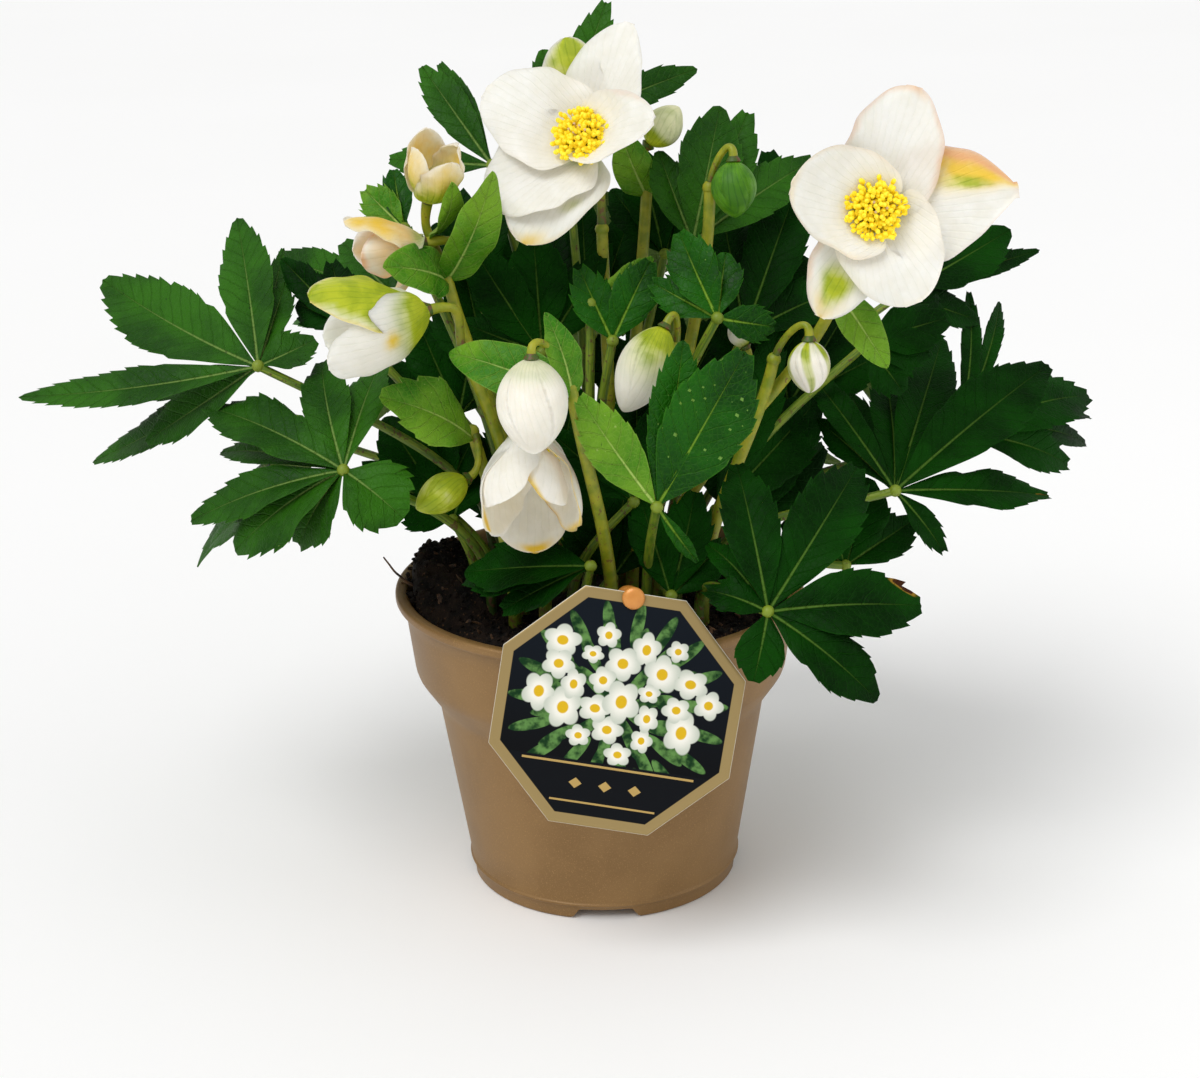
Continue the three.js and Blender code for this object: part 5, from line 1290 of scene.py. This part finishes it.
for number, (name, flower) in enumerate(FLOWERS.items()):
    if "length" not in flower:
        continue
    length, width = flower["length"], flower["width"]
    along = (0.5 - 0.5 * np.cos(np.pi * np.linspace(0.03, 0.985, 44)))[:, None]
    angle = np.linspace(0, 2 * np.pi, 120, endpoint=False)
    girth = np.sin(np.pi * along ** 0.9) ** 0.62
    fifth = ((angle + BUD_TWIST * along ** 1.5) * 5 / (2 * np.pi)) % 1
    lap = 1 - BUD_OVERLAP * (1 - fifth) ** 2 * np.sin(np.pi * along) ** 0.4
    radius = width / 2 * girth * lap
    rings = stacked(radius * np.cos(angle), radius * np.sin(angle), along * length)
    drawing = stacked((fifth - 0.5) * girth * width * 0.6, along * length, along)
    top = smooth(along, 0.45, 0.02)
    lime_places = {
        "top": top,
        "side": (0.5 + 0.5 * np.cos(angle - BUD_BRIGHT_SIDE)) * smooth(along, 1.0, 0.3),
        "stripes": smooth(np.abs(fifth - 0.55), 0.3, 0.1),
        "overall": 0.8 + 0.4 * top,
    }
    lime = sum(flower.get(kind, 0) * share for kind, share in lime_places.items())
    egg = Skin(on_flower(flower, rings), drawing=drawing, stains=stacked(lime, 0 * fifth, 0))
    flesh, slot = (sepal_green, "bud_green") if "deep" in flower else (sepal_white, "sepal")
    parts = [(knob_skin(flower), scape_green), (egg, flesh)]
    piece(f"flower_bud_{name}", parts, replaces=[f"bud_{name}"])

# ---- Stamens ----
# The middle of an open flower: a tuft of thread-thin stamens with plump yellow anthers, a ring of lime
# nectar cups at its foot, and a few pinkish seed cases in the middle.

STAMEN_COUNT = 210
STAMEN_BASE, STAMEN_LENGTH, STAMEN_SPREAD = 2.6, 9.5, 54
STAMEN_DISC = 2.4  # radius of the disc on which they stand
NECTARY_COUNT, NECTARY_LENGTH, NECTARY_RING, NECTARY_TILT = 16, 4.2, 2.9, 60
CARPEL_COUNT, CARPEL_LENGTH, CARPEL_RING, CARPEL_TILT = 6, 9, 0.9, 7


def tuft(profile, around, lengths, tilts, feet, headings):
    """Many slim turned bodies: each stands on the floor of the flower at a distance from the axis,
    tilted outwards along its heading."""
    rings = np.broadcast_to(turned_rings(profile, around), (len(lengths), len(profile), around, 3)).copy()
    rings[..., 2] *= lengths[:, None, None]
    tilt, heading = np.radians(tilts)[:, None, None], np.radians(headings)[:, None, None]
    x, y, z = np.moveaxis(rings, -1, 0)
    x, z = x * np.cos(tilt) + z * np.sin(tilt) + feet[:, None, None], z * np.cos(tilt) - x * np.sin(tilt)
    x, y = x * np.cos(heading) - y * np.sin(heading), x * np.sin(heading) + y * np.cos(heading)
    return np.stack([x, y, z], axis=-1)


# The anthers glow faintly in their own yellow: a painted glow that brightens them beyond the light they
# get.
anther_yellow, inputs, place = finish("anthers", {
    "Subsurface Weight": 0.1, "Subsurface Scale": 0.5 * MM, "Emission Strength": 0.12,
})
pollen_and_glow = place.noise(place, 1.2, 2).fade(0.3, 0.7).colour(tone("#f7d406"), tone("#fff03a"))
pollen_and_glow.into(inputs["Base Color"])
pollen_and_glow.into(inputs["Emission Color"])
(0.5 + 0.2 * place.noise(place, 0.8)).into(inputs["Roughness"])
place.noise(place, 0.4).bump(0.1).into(inputs["Normal"])
filament_cream, inputs, place = finish("filaments", {"Roughness": 0.5})
place.noise(place, 2).colour(tone("#e8cf20"), tone("#f4e460")).into(inputs["Base Color"])
nectary_lime, inputs, place = finish("nectaries", {"Roughness": 0.4})
place.noise(place, 1.5).colour(tone("#a9b018"), tone("#d2cf30")).into(inputs["Base Color"])
carpel_pink, inputs, place = finish("carpels", {"Roughness": 0.5})
place.noise(place, 1.5).colour(tone("#c9a06a"), tone("#d9b98e")).into(inputs["Base Color"])

filament_profile = [(0.22, 0), (0.2, 0.4), (0.18, 0.86)]
anther_profile = [(0.2, 0.82), (0.7, 0.87), (0.78, 0.95), (0.5, 1.01), (0.15, 1.03)]
nectary_profile = [(0.35, 0), (0.7, 0.5), (0.95, 0.9), (0.7, 1.0), (0.35, 0.85)]
carpel_profile = [(0.8, 0), (0.9, 0.3), (0.45, 0.6), (0.25, 0.95), (0.4, 1.0)]
cushion_profile = [(1.2, 0.6), (3.3, 0.9), (3.4, 2.0), (2.6, 3.2), (1.0, 3.6)]

for number, name in enumerate(("upper", "right", "bell")):
    flower = FLOWERS[name]
    draw = np.random.default_rng(700 + number)
    order = np.arange(STAMEN_COUNT)
    share = np.sqrt((order + 0.5) / STAMEN_COUNT)
    lengths = STAMEN_LENGTH * (0.84 + 0.2 * draw.uniform(-1, 1, STAMEN_COUNT))
    tilts = STAMEN_SPREAD * share + draw.uniform(-4, 4, STAMEN_COUNT)
    headings = order * GOLDEN_ANGLE + draw.uniform(-6, 6, STAMEN_COUNT)
    nectary, carpel = np.arange(NECTARY_COUNT), np.arange(CARPEL_COUNT)
    stamens = (lengths, tilts, share * STAMEN_DISC, headings)
    nectaries = (
        np.full(NECTARY_COUNT, NECTARY_LENGTH), NECTARY_TILT + 6 * np.cos(nectary * 2.0),
        np.full(NECTARY_COUNT, NECTARY_RING), nectary * 360 / NECTARY_COUNT,
    )
    carpels = (
        np.full(CARPEL_COUNT, CARPEL_LENGTH), CARPEL_TILT + 5 * np.cos(carpel * 2.4),
        np.full(CARPEL_COUNT, CARPEL_RING), carpel * 360 / CARPEL_COUNT,
    )
    parts = []
    for profile, around, places, material in (
        (filament_profile, 4, stamens, filament_cream), (anther_profile, 6, stamens, anther_yellow),
        (nectary_profile, 8, nectaries, nectary_lime), (carpel_profile, 8, carpels, carpel_pink),
    ):
        rings = tuft(profile, around, *places) + (0, 0, STAMEN_BASE)
        parts.append((Skin(on_flower(flower, rings)), material))
    parts.append((Skin(on_flower(flower, turned_rings(cushion_profile, 20))), nectary_lime))
    piece(f"stamen_tuft_{name}", parts, replaces=[f"stamens_{name}"])
